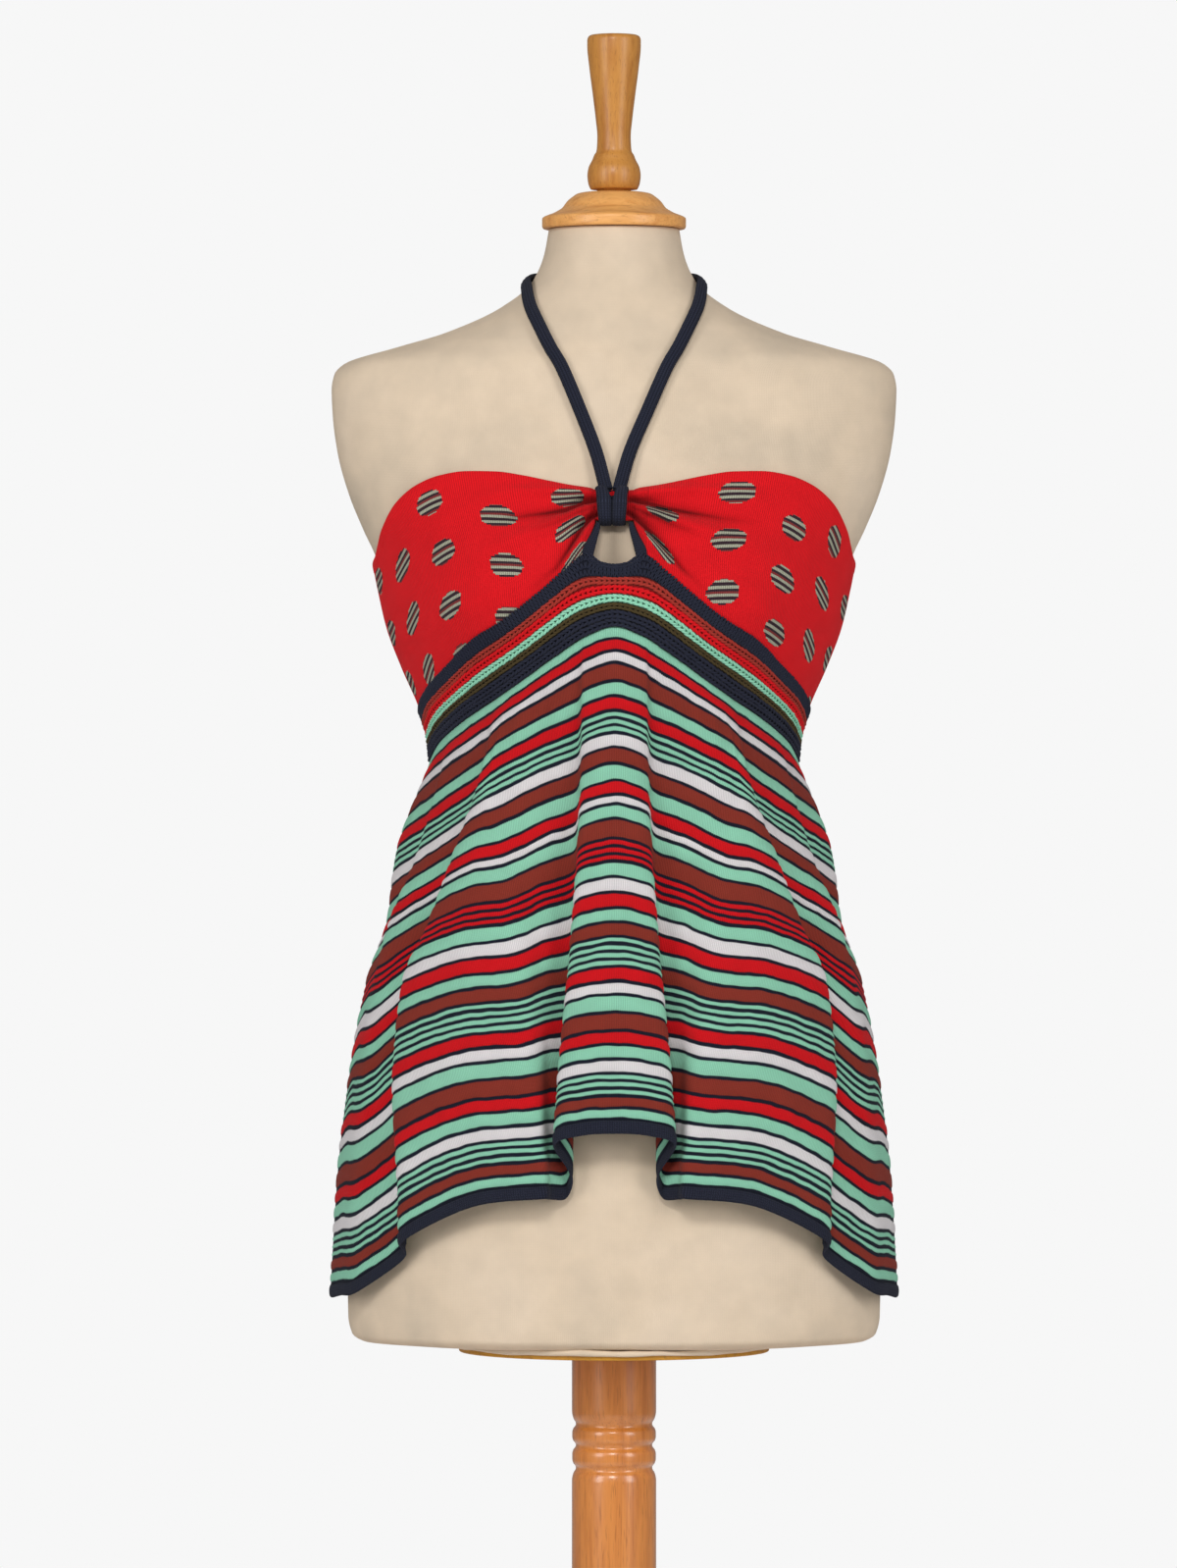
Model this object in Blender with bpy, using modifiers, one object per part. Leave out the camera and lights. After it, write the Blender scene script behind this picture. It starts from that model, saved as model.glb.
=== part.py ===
# Knit halter top on a limbless dress form.
# Metres, +Z up, the front faces -Y, the origin is the middle of the stand's underside.

import math

import bmesh
import bpy
from mathutils import Vector

# Driving sizes.
SEAM = 0.0005  # between two pieces that are sewn together
FIT = 0.0003  # between two hard pieces that touch
JERSEY = 0.002  # wall of the red and striped jersey
FORM_CLEAR = 0.0018  # between the dress form and the inside of the cloth on it
SIDE = 89.8  # angle of the side seams from the middle of the front, degrees

# The dress form's body: height above the floor, half width, depth before and behind the axis.
FORM_SECTIONS = (
    # height, half width, front, back
    (0.5500, 0.1150, 0.0850, 0.0900),
    (0.5530, 0.1740, 0.1080, 0.1150),
    (0.5580, 0.1815, 0.1150, 0.1210),
    (0.5700, 0.1842, 0.1165, 0.1240),
    (0.6100, 0.1848, 0.1175, 0.1270),
    (0.6656, 0.1825, 0.1170, 0.1290),
    (0.7336, 0.1750, 0.1130, 0.1270),
    (0.8016, 0.1630, 0.1070, 0.1180),
    (0.8608, 0.1470, 0.0990, 0.1040),
    (0.9036, 0.1330, 0.0920, 0.0920),
    (0.9420, 0.1225, 0.0870, 0.0840),
    (0.9700, 0.1245, 0.0900, 0.0850),
    (0.9950, 0.1330, 0.0970, 0.0890),
    (1.0200, 0.1440, 0.1050, 0.0950),
    (1.0480, 0.1545, 0.1110, 0.1010),
    (1.0740, 0.1605, 0.1130, 0.1060),
    (1.0950, 0.1650, 0.1120, 0.1090),
    (1.1137, 0.1735, 0.1090, 0.1100),
    (1.1396, 0.1840, 0.1010, 0.1090),
    (1.1670, 0.1915, 0.0910, 0.1040),
    (1.1930, 0.1950, 0.0810, 0.0950),
    (1.2116, 0.1958, 0.0730, 0.0860),
    (1.2218, 0.1940, 0.0690, 0.0800),
    (1.2293, 0.1870, 0.0660, 0.0750),
    (1.2409, 0.1500, 0.0610, 0.0680),
    (1.2504, 0.1180, 0.0580, 0.0630),
    (1.2680, 0.0790, 0.0540, 0.0590),
    (1.2858, 0.0570, 0.0510, 0.0550),
    (1.3050, 0.0485, 0.0475, 0.0490),
    (1.3225, 0.0452, 0.0450, 0.0450),
)
NECK_BASE = (1.235, 1.310)  # the curve from shoulder to neck has twice as many sections
BUST = {"across": 0.082, "height": 1.070, "wide": 0.050, "tall": 0.050, "out": 0.020}

# Edges of the cloth pieces: angle from the middle of the front, height.
NECKLINE = (
    # angle, height
    (0.0, 1.1345),
    (3.9, 1.1346),
    (4.6, 1.1376),
    (5.4, 1.1386),
    (8.5, 1.1402),
    (14.1, 1.1440),
    (19.6, 1.1478),
    (25.4, 1.1506),
    (32.5, 1.1512),
    (39.3, 1.1488),
    (46.2, 1.1430),
    (54.4, 1.1320),
    (64.0, 1.1160),
    (72.0, 1.1040),
    (80.0, 1.0955),
    (90.0, 1.0915),
    (180.0, 1.0890),
)
BAND_TOP = (
    # angle, height
    (0.0, 1.0845),
    (3.0, 1.0858),
    (5.0, 1.0894),
    (6.6, 1.0936),
    (11.4, 1.0834),
    (17.9, 1.0695),
    (27.9, 1.0518),
    (38.3, 1.0389),
    (50.1, 1.0212),
    (66.3, 1.0050),
    (82.0, 0.9930),
    (90.0, 0.9900),
    (180.0, 0.9900),
)
BAND_BOTTOM = (
    # angle, height
    (0.0, 1.0467),
    (6.9, 1.0408),
    (15.5, 1.0274),
    (25.1, 1.0124),
    (37.4, 0.9968),
    (52.7, 0.9825),
    (67.5, 0.9700),
    (84.5, 0.9560),
    (90.0, 0.9540),
    (180.0, 0.9540),
)
KEYHOLE = (
    # height, half width of the opening, half width of the cut in the red panel
    (1.0894, 0.0150, 0.0210),
    (1.0949, 0.0136, 0.0204),
    (1.0993, 0.0125, 0.0188),
    (1.1056, 0.0109, 0.0157),
    (1.1112, 0.0097, 0.0133),
    (1.1146, 0.0096, 0.0122),
)
PANEL_UNDER_LOOP = 1.1158  # lower edge of the red panel where the loop gathers it

# Knitted courses of the under-bust band, top to bottom: width and how far each stands out.
COURSES = (
    # width, ridge, rows of points on its crest
    (0.0091, 0.0012, 1),
    (0.0052, 0.0012, 1),
    (0.0058, 0.0012, 1),
    (0.0054, 0.0012, 1),
    (0.0046, 0.0012, 1),
    (0.0115, 0.0009, 2),
)

# Folds of the skirt's front, middle to side seam. Each line runs from the band to the hem.
LEVELS = (0.944, 0.888, 0.845, 0.802, 0.734, 0.666)
FRONT_FOLDS = (
    # name, angle at the band, height of the hem, then (across, forward) in mm at each level
    ("crest", 0.0, 0.7020, (0, 128), (0, 132), (0, 134.5), (0, 139), (0, 148), (0, 156)),
    ("crest side", 4.5, 0.7005, (12, 128), (14, 131.5), (15.5, 134.5), (18, 139), (22, 148), (24, 155)),
    ("edge", 7.5, 0.6935, (21, 123.5), (24, 126), (27.5, 128.5), (31.5, 131.5), (38, 139), (42, 147)),
    ("undercut", 8.3, 0.6720, (23, 117), (24.5, 117), (25.5, 118.5), (26.5, 121), (28.5, 126), (29.3, 130)),
    ("valley", 9.5, 0.6570, (28, 113), (29, 111), (29.8, 112), (30.2, 114), (31.4, 118), (32.6, 121.5)),
    ("trough", 16.0, 0.6565, (50, 108), (48, 108), (47.5, 112.5), (47, 118), (45, 124), (44, 128.5)),
    ("soft ridge", 29.0, 0.6570, (80, 102), (74.5, 112), (71.5, 119), (68, 127), (60, 134), (52, 138.5)),
    ("panel", 32.0, 0.6510, (86, 100), (95, 107), (102, 109.5), (108, 112), (106, 119), (98, 123)),
    ("hip ridge", 34.5, 0.6270, (90.5, 96), (109.5, 95), (125, 90.5), (143, 85), (149, 89), (145, 97)),
    ("hip valley", 37.0, 0.6140, (92.5, 87), (110, 81), (124, 76.5), (140, 71), (146, 74), (144.5, 83)),
    ("side ridge", 59.0, 0.5900, (117.5, 60), (134, 56), (151.5, 55), (161, 54), (170, 56), (174, 60)),
    ("side valley", 63.0, 0.5860, (120, 50), (135, 42), (150, 40), (166, 35), (179, 33), (185, 35)),
    ("puff", 78.0, 0.5835, (127.5, 20), (148.5, 20), (155, 18), (169.5, 16), (182, 15), (189.5, 16)),
    ("seam", SIDE, 0.5826, (128.5, 0.5), (150.5, 0.5), (156, 0.5), (170.5, 0.5), (183, 0.5), (191, 0.5)),
)
# Folds of the skirt's back, side seam to the middle of the back.
BACK_FOLDS = (
    # name, angle at the band, height of the hem, then (across, backward) in mm at each level
    ("seam", 180 - SIDE, 0.5826, (128.5, 0.5), (150.5, 0.5), (156, 0.5), (170.5, 0.5), (183, 0.5), (191, 0.5)),
    ("puff", 102.0, 0.5835, (126, 23), (146, 26), (152, 27), (167, 28), (180, 30), (188, 31)),
    ("side valley", 116.0, 0.5900, (115, 48), (129, 56), (137, 61), (147, 67), (159, 77), (164, 83)),
    ("side ridge", 128.0, 0.6050, (102, 70), (119, 84), (127.5, 91), (137, 100), (148, 109), (150, 114)),
    ("hip valley", 141.0, 0.6240, (79, 81), (90, 96), (94.5, 106), (100, 117), (104, 128), (106, 130)),
    ("back ridge", 152.0, 0.6390, (60, 96), (68, 115), (72, 126.5), (76, 139), (80, 153), (81, 157)),
    ("back valley", 166.0, 0.6480, (30, 95), (33, 110), (34.5, 119), (36, 129), (37, 139), (37, 141)),
    ("middle", 180.0, 0.6510, (0, 102), (0, 120), (0, 131), (0, 143), (0, 156), (0, 159)),
)
BAND_OUT = 0.0006  # how far the middle of the band's wall lies outside the skirt's
HEM_TRIM = {"wide": 0.0085, "wide_on_crest": 0.0110, "crest_above": 0.68, "out": 0.0008}
HEM_SEAM = 0.0008  # wider than the others, because the hem runs steeply round the folds
SKIRT_ROWS = 10

# The neck strap's middle line: angle on the left and on the right, height, from the knot to the back.
STRAP_LINE = (
    # left, right, height
    (1.9, 1.1, 1.1386),
    (3.8, 3.2, 1.1640),
    (6.8, 6.6, 1.1920),
    (10.5, 10.5, 1.2218),
    (15.0, 15.0, 1.2360),
    (24.0, 24.0, 1.2490),
    (42.0, 42.0, 1.2650),
    (66.0, 66.0, 1.2785),
    (90.0, 90.0, 1.2850),
    (120.0, 120.0, 1.2885),
    (150.0, 150.0, 1.2900),
    (180.0, 180.0, 1.2905),
)
STRAP = {"wide": 0.0090, "thick": 0.0044, "clear": 0.0011}

# The loop that gathers the red panel between the straps and the keyhole.
LOOP = {"across": -0.0010, "wide_top": 0.0228, "wide_bottom": 0.0170, "top": 1.1391, "bottom": 1.1111,
        "thick": 0.0046, "thin": 0.0024}

# Wooden parts of the stand: radius, height, on the outer side from top to bottom.
FINIAL = (
    # radius, height
    (0.0, 1.4578),
    (0.0090, 1.4574),
    (0.0160, 1.4562),
    (0.0184, 1.4535),
    (0.0186, 1.4500),
    (0.0172, 1.4350),
    (0.0148, 1.4163),
    (0.0126, 1.3980),
    (0.0116, 1.3870),
    (0.0120, 1.3782),
    (0.0148, 1.3710),
    (0.0182, 1.3640),
    (0.0185, 1.3600),
    (0.0178, 1.3550),
    (0.0160, 1.3503),
    (0.0118, 1.3499),
    (0.0116, 1.3487),
    (0.0, 1.3487),
)
CAP = (
    # radius, height
    (0.0, 1.3484),
    (0.0200, 1.3482),
    (0.0270, 1.3466),
    (0.0325, 1.3430),
    (0.0368, 1.3372),
    (0.0420, 1.3330),
    (0.0486, 1.3310),
    (0.0499, 1.3300),
    (0.0499, 1.3242),
    (0.0490, 1.3230),
    (0.0, 1.3230),
)
BOARD = {"radius": 0.1075, "thick": 0.0040}
POLE = {"radius": 0.0292, "groove": 0.0027, "beads": (0.4950, 0.4803, 0.4647)}
FOOT = {"radius": 0.2000, "thick": 0.0260, "collar": 0.0480, "collar_height": 0.0160}

MATERIALS = {
    # name: colour, roughness
    "cream_jersey": ((0.72, 0.60, 0.45), 0.9),
    "varnished_beech": ((0.58, 0.26, 0.08), 0.3),
    "red_knit": ((0.69, 0.01, 0.012), 0.85),
    "navy_knit": ((0.023, 0.030, 0.063), 0.9),
    "striped_knit": ((0.31, 0.67, 0.49), 0.9),
}


def cubic(rows, at, column=1):
    """The value of one column of a table, on a smooth curve that never overshoots its rows."""
    xs = [row[0] for row in rows]
    ys = [row[column] for row in rows]
    if at <= xs[0]:
        return ys[0]
    if at >= xs[-1]:
        return ys[-1]
    rise = [(ys[i + 1] - ys[i]) / (xs[i + 1] - xs[i]) for i in range(len(xs) - 1)]
    i = max(k for k in range(len(rise)) if xs[k] <= at)

    def slope(k):
        if k in (0, len(rise)):
            return rise[0] if k == 0 else rise[-1]
        before, after = rise[k - 1], rise[k]
        return 0.0 if before * after <= 0 else 2 * before * after / (before + after)

    step = xs[i + 1] - xs[i]
    t = (at - xs[i]) / step
    start = (1 + 2 * t) * (1 - t) ** 2 * ys[i] + t * (1 - t) ** 2 * step * slope(i)
    end = t * t * (3 - 2 * t) * ys[i + 1] - t * t * (1 - t) * step * slope(i + 1)
    return start + end


def bust_out(across, height, spanned):
    """How far the bust stands forward; cloth spans the hollow between its two sides."""
    aside = abs(across) - BUST["across"]
    if spanned:
        aside = max(aside, 0.0)
    near = (aside / BUST["wide"]) ** 2 + ((height - BUST["height"]) / BUST["tall"]) ** 2
    return BUST["out"] * math.exp(-near)


def form_point(angle, height, spanned=False):
    """A point on the dress form's surface; the angle is in degrees from the middle of the front."""
    half, front, back = (cubic(FORM_SECTIONS, height, column) for column in (1, 2, 3))
    sine, cosine = math.sin(math.radians(angle)), math.cos(math.radians(angle))
    across = half * sine
    ahead = (front if cosine > 0 else back) * cosine
    if cosine > 0:
        ahead += bust_out(across, height, spanned) * cosine**0.5
    return Vector((across, -ahead, height))


def on_form(angle, height, off, spanned=True):
    """A point that lies off the dress form's surface by that much."""
    step_angle, step_height = 1.5, 0.004
    here = form_point(angle, height, spanned)
    before, beyond = (form_point(angle + step, height, spanned) for step in (-step_angle, step_angle))
    under, over = (form_point(angle, height + step, spanned) for step in (-step_height, step_height))
    return here + (beyond - before).cross(over - under).normalized() * off


def pushed_clear(point, off):
    """The point, moved level away from the form's axis if it lies nearer the form than off."""
    half, front, back = (cubic(FORM_SECTIONS, point.z, column) for column in (1, 2, 3))
    depth = (front if point.y < 0 else back) + off
    share = math.hypot(point.x / (half + off), point.y / depth)
    if share >= 1 or share == 0:
        return point
    return Vector((point.x / share, point.y / share, point.z))


def material(name):
    if name in bpy.data.materials:
        return bpy.data.materials[name]
    colour, roughness = MATERIALS[name]
    made = bpy.data.materials.new(name)
    made.use_nodes = True
    made.diffuse_color = (*colour, 1)
    shader = made.node_tree.nodes["Principled BSDF"]
    shader.inputs["Base Color"].default_value = (*colour, 1)
    shader.inputs["Roughness"].default_value = roughness
    shader.inputs["Metallic"].default_value = 0.0
    return made


def add_object(name, mesh, material_name):
    made = bpy.data.objects.new(name, mesh)
    made.data.materials.append(material(material_name))
    bpy.data.collections["knit_top_on_form"].objects.link(made)
    return made


def solid(name, points, faces, material_name):
    """An object from points and faces, with its faces turned outwards."""
    mesh = bpy.data.meshes.new(name)
    mesh.from_pydata(points, [], faces)
    shape = bmesh.new()
    shape.from_mesh(mesh)
    bmesh.ops.recalc_face_normals(shape, faces=shape.faces)
    shape.to_mesh(mesh)
    shape.free()
    mesh.shade_smooth()
    mesh.set_sharp_from_angle(angle=math.radians(45))
    return add_object(name, mesh, material_name)


def outwards(middle):
    """The outward direction at each point of a grid of columns that run top to bottom.

    The columns run from the viewer's left to right when the cloth is seen from outside.
    """
    columns, rows = len(middle), len(middle[0])
    directions = []
    for i in range(columns):
        column = []
        for j in range(rows):
            beside = middle[min(i + 1, columns - 1)][j] - middle[max(i - 1, 0)][j]
            below = middle[i][min(j + 1, rows - 1)] - middle[i][max(j - 1, 0)]
            column.append(below.cross(beside).normalized())
        directions.append(column)
    return directions


def wall(name, middle, thick, material_name, relief=None, directions=None):
    """A closed wall round a grid of points, whose outer side also stands out by relief(column, row)."""
    columns, rows = len(middle), len(middle[0])
    directions = directions or outwards(middle)
    outer, inner = [], []
    for i in range(columns):
        for j in range(rows):
            extra = relief(i, j) if relief else 0.0
            outer.append(middle[i][j] + directions[i][j] * (thick / 2 + extra))
            inner.append(middle[i][j] - directions[i][j] * thick / 2)
    count = columns * rows
    faces = []
    for i in range(columns - 1):
        for j in range(rows - 1):
            a, b, c, d = i * rows + j, i * rows + j + 1, (i + 1) * rows + j + 1, (i + 1) * rows + j
            faces.append((a, b, c, d))
            faces.append((count + d, count + c, count + b, count + a))
    # Opposite rims split along the same diagonal, so that two rims at a seam keep their distance.
    for i in range(columns - 1):
        a, b = i * rows, (i + 1) * rows
        faces.append((a, b, count + b, count + a))
        a, b = a + rows - 1, b + rows - 1
        faces.append((a, count + a, count + b, b))
    for j in range(rows - 1):
        a, b = j, j + 1
        faces.append((a, count + a, count + b, b))
        a, b = a + count - rows, b + count - rows
        faces.append((a, b, count + b, count + a))
    return solid(name, outer + inner, faces, material_name)


def turned(name, profile, steps, material_name):
    """A turned piece from a profile of (radius, height), from its top down its outer side."""
    mesh = bpy.data.meshes.new(name)
    points = [(radius, 0.0, height) for radius, height in profile]
    mesh.from_pydata(points, [(i, i + 1) for i in range(len(points) - 1)], [])
    made = add_object(name, mesh, material_name)
    screw = made.modifiers.new("turn", "SCREW")
    screw.steps = steps
    screw.render_steps = steps
    screw.use_merge_vertices = True
    screw.merge_threshold = 0.00001
    return made


def spread(start, end, count):
    return [start + (end - start) * k / count for k in range(count + 1)]


def both_sides(half):
    """Angles from one side seam to the other, from the half that runs middle to side."""
    return [-angle for angle in reversed(half[1:])] + list(half)


def dress_form():
    """The padded, jersey-covered body of the stand, closed at its underside and at its neck."""
    around = 36
    heights = [row[0] for row in FORM_SECTIONS]
    near_neck = [height for height in heights if NECK_BASE[0] < height < NECK_BASE[1]]
    heights += [(low + high) / 2 for low, high in zip(near_neck, near_neck[1:])]
    heights.sort()
    points = [form_point(360 * k / around, height) for height in heights for k in range(around)]
    faces = [tuple(range(around)), tuple(range(len(points) - around, len(points)))]
    for ring in range(len(heights) - 1):
        for k in range(around):
            a, b = ring * around + k, ring * around + (k + 1) % around
            faces.append((a, b, b + around, a + around))
    solid("form_torso", points, faces, "cream_jersey")


def stand():
    """The wooden neck cap, finial, underboard, turned pole and round foot."""
    turned("neck_finial", FINIAL, 20, "varnished_beech")
    turned("neck_cap", CAP, 28, "varnished_beech")

    board_top = FORM_SECTIONS[0][0] - FIT
    board_bottom = board_top - BOARD["thick"]
    edge = BOARD["radius"]
    board = [(0.0, board_top), (edge, board_top), (edge, board_bottom), (0.0, board_bottom)]
    turned("form_underboard", board, 40, "varnished_beech")

    radius, waist = POLE["radius"], POLE["radius"] - POLE["groove"]
    top, bottom = board_bottom - FIT, FOOT["thick"] + FIT
    upper, middle, lower = POLE["beads"]
    shoulder, half_groove = 0.008, 0.0012
    pole = [(0.0, top), (radius, top), (radius, upper + shoulder), (radius - 0.0008, upper + 0.004)]
    for groove, below in ((upper, middle), (middle, lower), (lower, None)):
        pole += [(waist, groove + half_groove), (waist, groove - half_groove)]
        if below is not None:
            bead = (groove + below) / 2
            pole += [(radius - 0.0004, bead + 0.003), (radius - 0.0004, bead - 0.003)]
    pole += [(radius - 0.0008, lower - 0.004), (radius, lower - shoulder), (radius, bottom), (0.0, bottom)]
    turned("stand_pole", pole, 24, "varnished_beech")

    rim, inner = 0.006, radius + FIT
    disc, collar, thick = FOOT["radius"], FOOT["collar"], FOOT["thick"]
    collar_top = thick + FOOT["collar_height"]
    foot = [(0.0, thick), (inner, thick), (inner, collar_top), (collar - rim, collar_top)]
    foot += [(collar, collar_top - rim), (collar, thick), (disc - rim, thick), (disc, thick - rim)]
    foot += [(disc, 0.0), (0.0, 0.0)]
    turned("stand_foot", foot, 40, "varnished_beech")


def panel_bottom(angle):
    """Lower edge of the red front: under the loop, down the keyhole's sides, along the band."""
    across = abs(form_point(angle, 1.099, True).x)
    if across <= KEYHOLE[-1][2]:
        return PANEL_UNDER_LOOP
    if across < KEYHOLE[1][2]:
        rows = [(cut, height) for height, _, cut in reversed(KEYHOLE[1:])]
        return cubic(rows, across)
    return cubic(BAND_TOP, abs(angle)) + SEAM


def red_top():
    """The red front, gathered at its middle by the loop, and the plain red back."""
    rows = 12
    folds, deep, fades = 3.0, 0.0024, 34.0
    half = [0, 2.0, 3.9, 4.15, 4.6, 5.2, 5.9, 6.9, 9, 13, 18, 25, 33, 41, 49, 57, 65, 73, 81, SIDE]
    angles = both_sides(half)
    off = FORM_CLEAR + JERSEY / 2
    middle = []
    for angle in angles:
        top, bottom = cubic(NECKLINE, abs(angle)), panel_bottom(angle)
        middle.append([on_form(angle, top + (bottom - top) * j / rows, off) for j in range(rows + 1)])

    def gathers(i, j):
        edge = math.sin(math.pi * j / rows) ** 0.5
        wave = 0.5 - 0.5 * math.cos(2 * math.pi * folds * j / rows)
        return deep * edge * wave * math.exp(-((angles[i] / fades) ** 2))

    wall("bust_front", middle, JERSEY, "red_knit", gathers)

    rows = 4
    middle = []
    for angle in spread(180 - SIDE, 180 + SIDE, 18):
        level = min(angle, 360 - angle)
        top, bottom = cubic(NECKLINE, level), cubic(BAND_TOP, level) + SEAM
        middle.append([on_form(angle, top + (bottom - top) * j / rows, off) for j in range(rows + 1)])
    wall("bust_back", middle, JERSEY, "red_knit")


def keyhole_trims():
    """The narrow knitted edging down each side of the keyhole."""
    rows, off = 7, FORM_CLEAR + JERSEY / 2 + BAND_OUT
    top = KEYHOLE[-1][0] - SEAM

    def angle_at(height, share):
        inside, cut = cubic(KEYHOLE, height, 1), cubic(KEYHOLE, height, 2) - 1.5 * SEAM
        return math.degrees(math.asin((inside + (cut - inside) * share) / cubic(FORM_SECTIONS, height)))

    for name, side in (("keyhole_trim_left", -1), ("keyhole_trim_right", 1)):
        middle = []
        for share in (0.0, 0.5, 1.0)[::side]:
            bottom = KEYHOLE[0][0]
            for _ in range(4):
                bottom = cubic(BAND_TOP, angle_at(bottom, share)) + 1.5 * SEAM
            heights = [top + (bottom - top) * j / rows for j in range(rows + 1)]
            middle.append([on_form(side * angle_at(height, share), height, off) for height in heights])
        wall(name, middle, JERSEY + BAND_OUT, "navy_knit")


def band_rows():
    """(share of the band's width, ridge) for each row of points, top to bottom."""
    whole = sum(width for width, _, _ in COURSES)
    rows, done = [(0.0, 0.0)], 0.0
    for width, ridge, crests in COURSES:
        places = (0.5,) if crests == 1 else (0.22, 0.78)
        rows += [((done + width * place) / whole, ridge) for place in places]
        done += width
        rows.append((done / whole, 0.0))
    return rows


def under_bust_band():
    """The band of six raised knitted courses, front and back."""
    rows = band_rows()
    half = [0, 2.2, 3.9, 5.2, 6.6, 9, 13, 18, 25, 34, 43, 52, 62, 72, 81, SIDE]
    back = spread(180 - SIDE, 180 + SIDE, 18)
    sides = (("underbust_band_front", both_sides(half)), ("underbust_band_back", back))
    for name, angles in sides:
        middle = []
        for angle in angles:
            level = min(abs(angle), 360 - abs(angle))
            top, bottom = cubic(BAND_TOP, level), cubic(BAND_BOTTOM, level)
            off = FORM_CLEAR + JERSEY / 2 + BAND_OUT
            middle.append([on_form(angle, top + (bottom - top) * share, off) for share, _ in rows])
        wall(name, middle, JERSEY, "navy_knit", lambda i, j: rows[j][1])


def fold_line(fold, side, facing):
    """The rows of (height, across, forward) down one fold of the skirt, from its hem to the band."""
    angle, hem, places = fold[1], fold[2], fold[3:]
    start = cubic(BAND_BOTTOM, min(angle, 360 - angle)) - SEAM
    top = on_form(side * angle, start, FORM_CLEAR + JERSEY / 2)
    line = [(start, top.x, top.y)]
    for level, (across, ahead) in zip(LEVELS, places):
        if level < start - 0.02:
            line.append((level, side * across / 1000, facing * ahead / 1000))
    last, before = line[-1], line[-2]
    slant = [(last[k] - before[k]) / (last[0] - before[0]) for k in (1, 2)]
    low = LEVELS[-1] - 0.1
    line.append((low, last[1] + slant[0] * (low - last[0]) * 0.5, last[2] + slant[1] * (low - last[0]) * 0.5))
    return angle * side, start, hem, sorted(line)


def through(before, start, end, after, t):
    """A point between start and end, on a smooth curve through four points."""
    square, cube = t * t, t * t * t
    return 0.5 * (
        2 * start
        + (end - before) * t
        + (2 * before - 5 * start + 4 * end - after) * square
        + (3 * start - before - 3 * end + after) * cube
    )


def skirt_grid(lines, steps):
    """A grid of points over one side of the skirt, whose last row but two starts the hem trim."""
    shares = []
    for _, start, hem, _ in lines:
        whole = start - hem
        wide = HEM_TRIM["wide_on_crest"] if hem > HEM_TRIM["crest_above"] else HEM_TRIM["wide"]
        body = 1 - (wide + HEM_SEAM) / whole
        shares.append([body * j / SKIRT_ROWS for j in range(SKIRT_ROWS + 1)] + [1 - wide / whole, 1.0])
    rows = []
    for j in range(SKIRT_ROWS + 3):
        row = []
        for (_, start, hem, line), share in zip(lines, shares):
            height = start + (hem - start) * share[j]
            row.append(Vector((cubic(line, height, 1), cubic(line, height, 2), height)))
        rows.append([2 * row[0] - row[1]] + row + [2 * row[-1] - row[-2]])
    grid, angles = [], []
    for i in range(len(lines) - 1):
        for k in range(steps[i] + (i == len(lines) - 2)):
            t = k / steps[i]
            angles.append(lines[i][0] + (lines[i + 1][0] - lines[i][0]) * t)
            grid.append([through(row[i], row[i + 1], row[i + 2], row[i + 3], t) for row in rows])
    settle = 3
    for angle, column in zip(angles, grid):
        top = cubic(BAND_BOTTOM, min(abs(angle), 360 - abs(angle))) - SEAM
        shift = on_form(angle, top, FORM_CLEAR + JERSEY / 2) - column[0]
        for j in range(settle):
            column[j] += shift * (1 - j / settle) ** 2
        column[:] = [pushed_clear(point, FORM_CLEAR + JERSEY / 2) for point in column]
    directions = outwards(grid)
    for angle, column, direction in zip(angles, grid, directions):
        direction[0] = (on_form(angle, column[0].z, 0.01) - on_form(angle, column[0].z, 0)).normalized()
        direction[SKIRT_ROWS + 1] = direction[SKIRT_ROWS]
    return grid, directions


def skirt():
    """The flared striped skirt with its folds, front and back, and the navy trim along its hem."""
    front = [fold_line(fold, -1, -1) for fold in reversed(FRONT_FOLDS[1:])]
    front += [fold_line(fold, 1, -1) for fold in FRONT_FOLDS]
    back = [fold_line(fold, 1, 1) for fold in BACK_FOLDS]
    back += [
        (360 - angle, start, hem, [(height, -across, ahead) for height, across, ahead in line])
        for angle, start, hem, line in reversed(back[:-1])
    ]
    half_front = (2, 2, 2, 2, 2, 3, 2, 3, 2, 3, 2, 2, 2)
    half_back = (2, 2, 2, 2, 2, 3, 3)
    sides = (
        ("front", front, tuple(reversed(half_front)) + half_front),
        ("back", back, half_back + tuple(reversed(half_back))),
    )
    for name, lines, steps in sides:
        grid, directions = skirt_grid(lines, steps)
        body = SKIRT_ROWS + 1
        wall("skirt_" + name, [column[:body] for column in grid], JERSEY, "striped_knit",
             directions=[column[:body] for column in directions])
        wall("hem_trim_" + name, [column[body:] for column in grid], JERSEY, "navy_knit",
             relief=lambda i, j: HEM_TRIM["out"] * j, directions=[column[body:] for column in directions])


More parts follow.
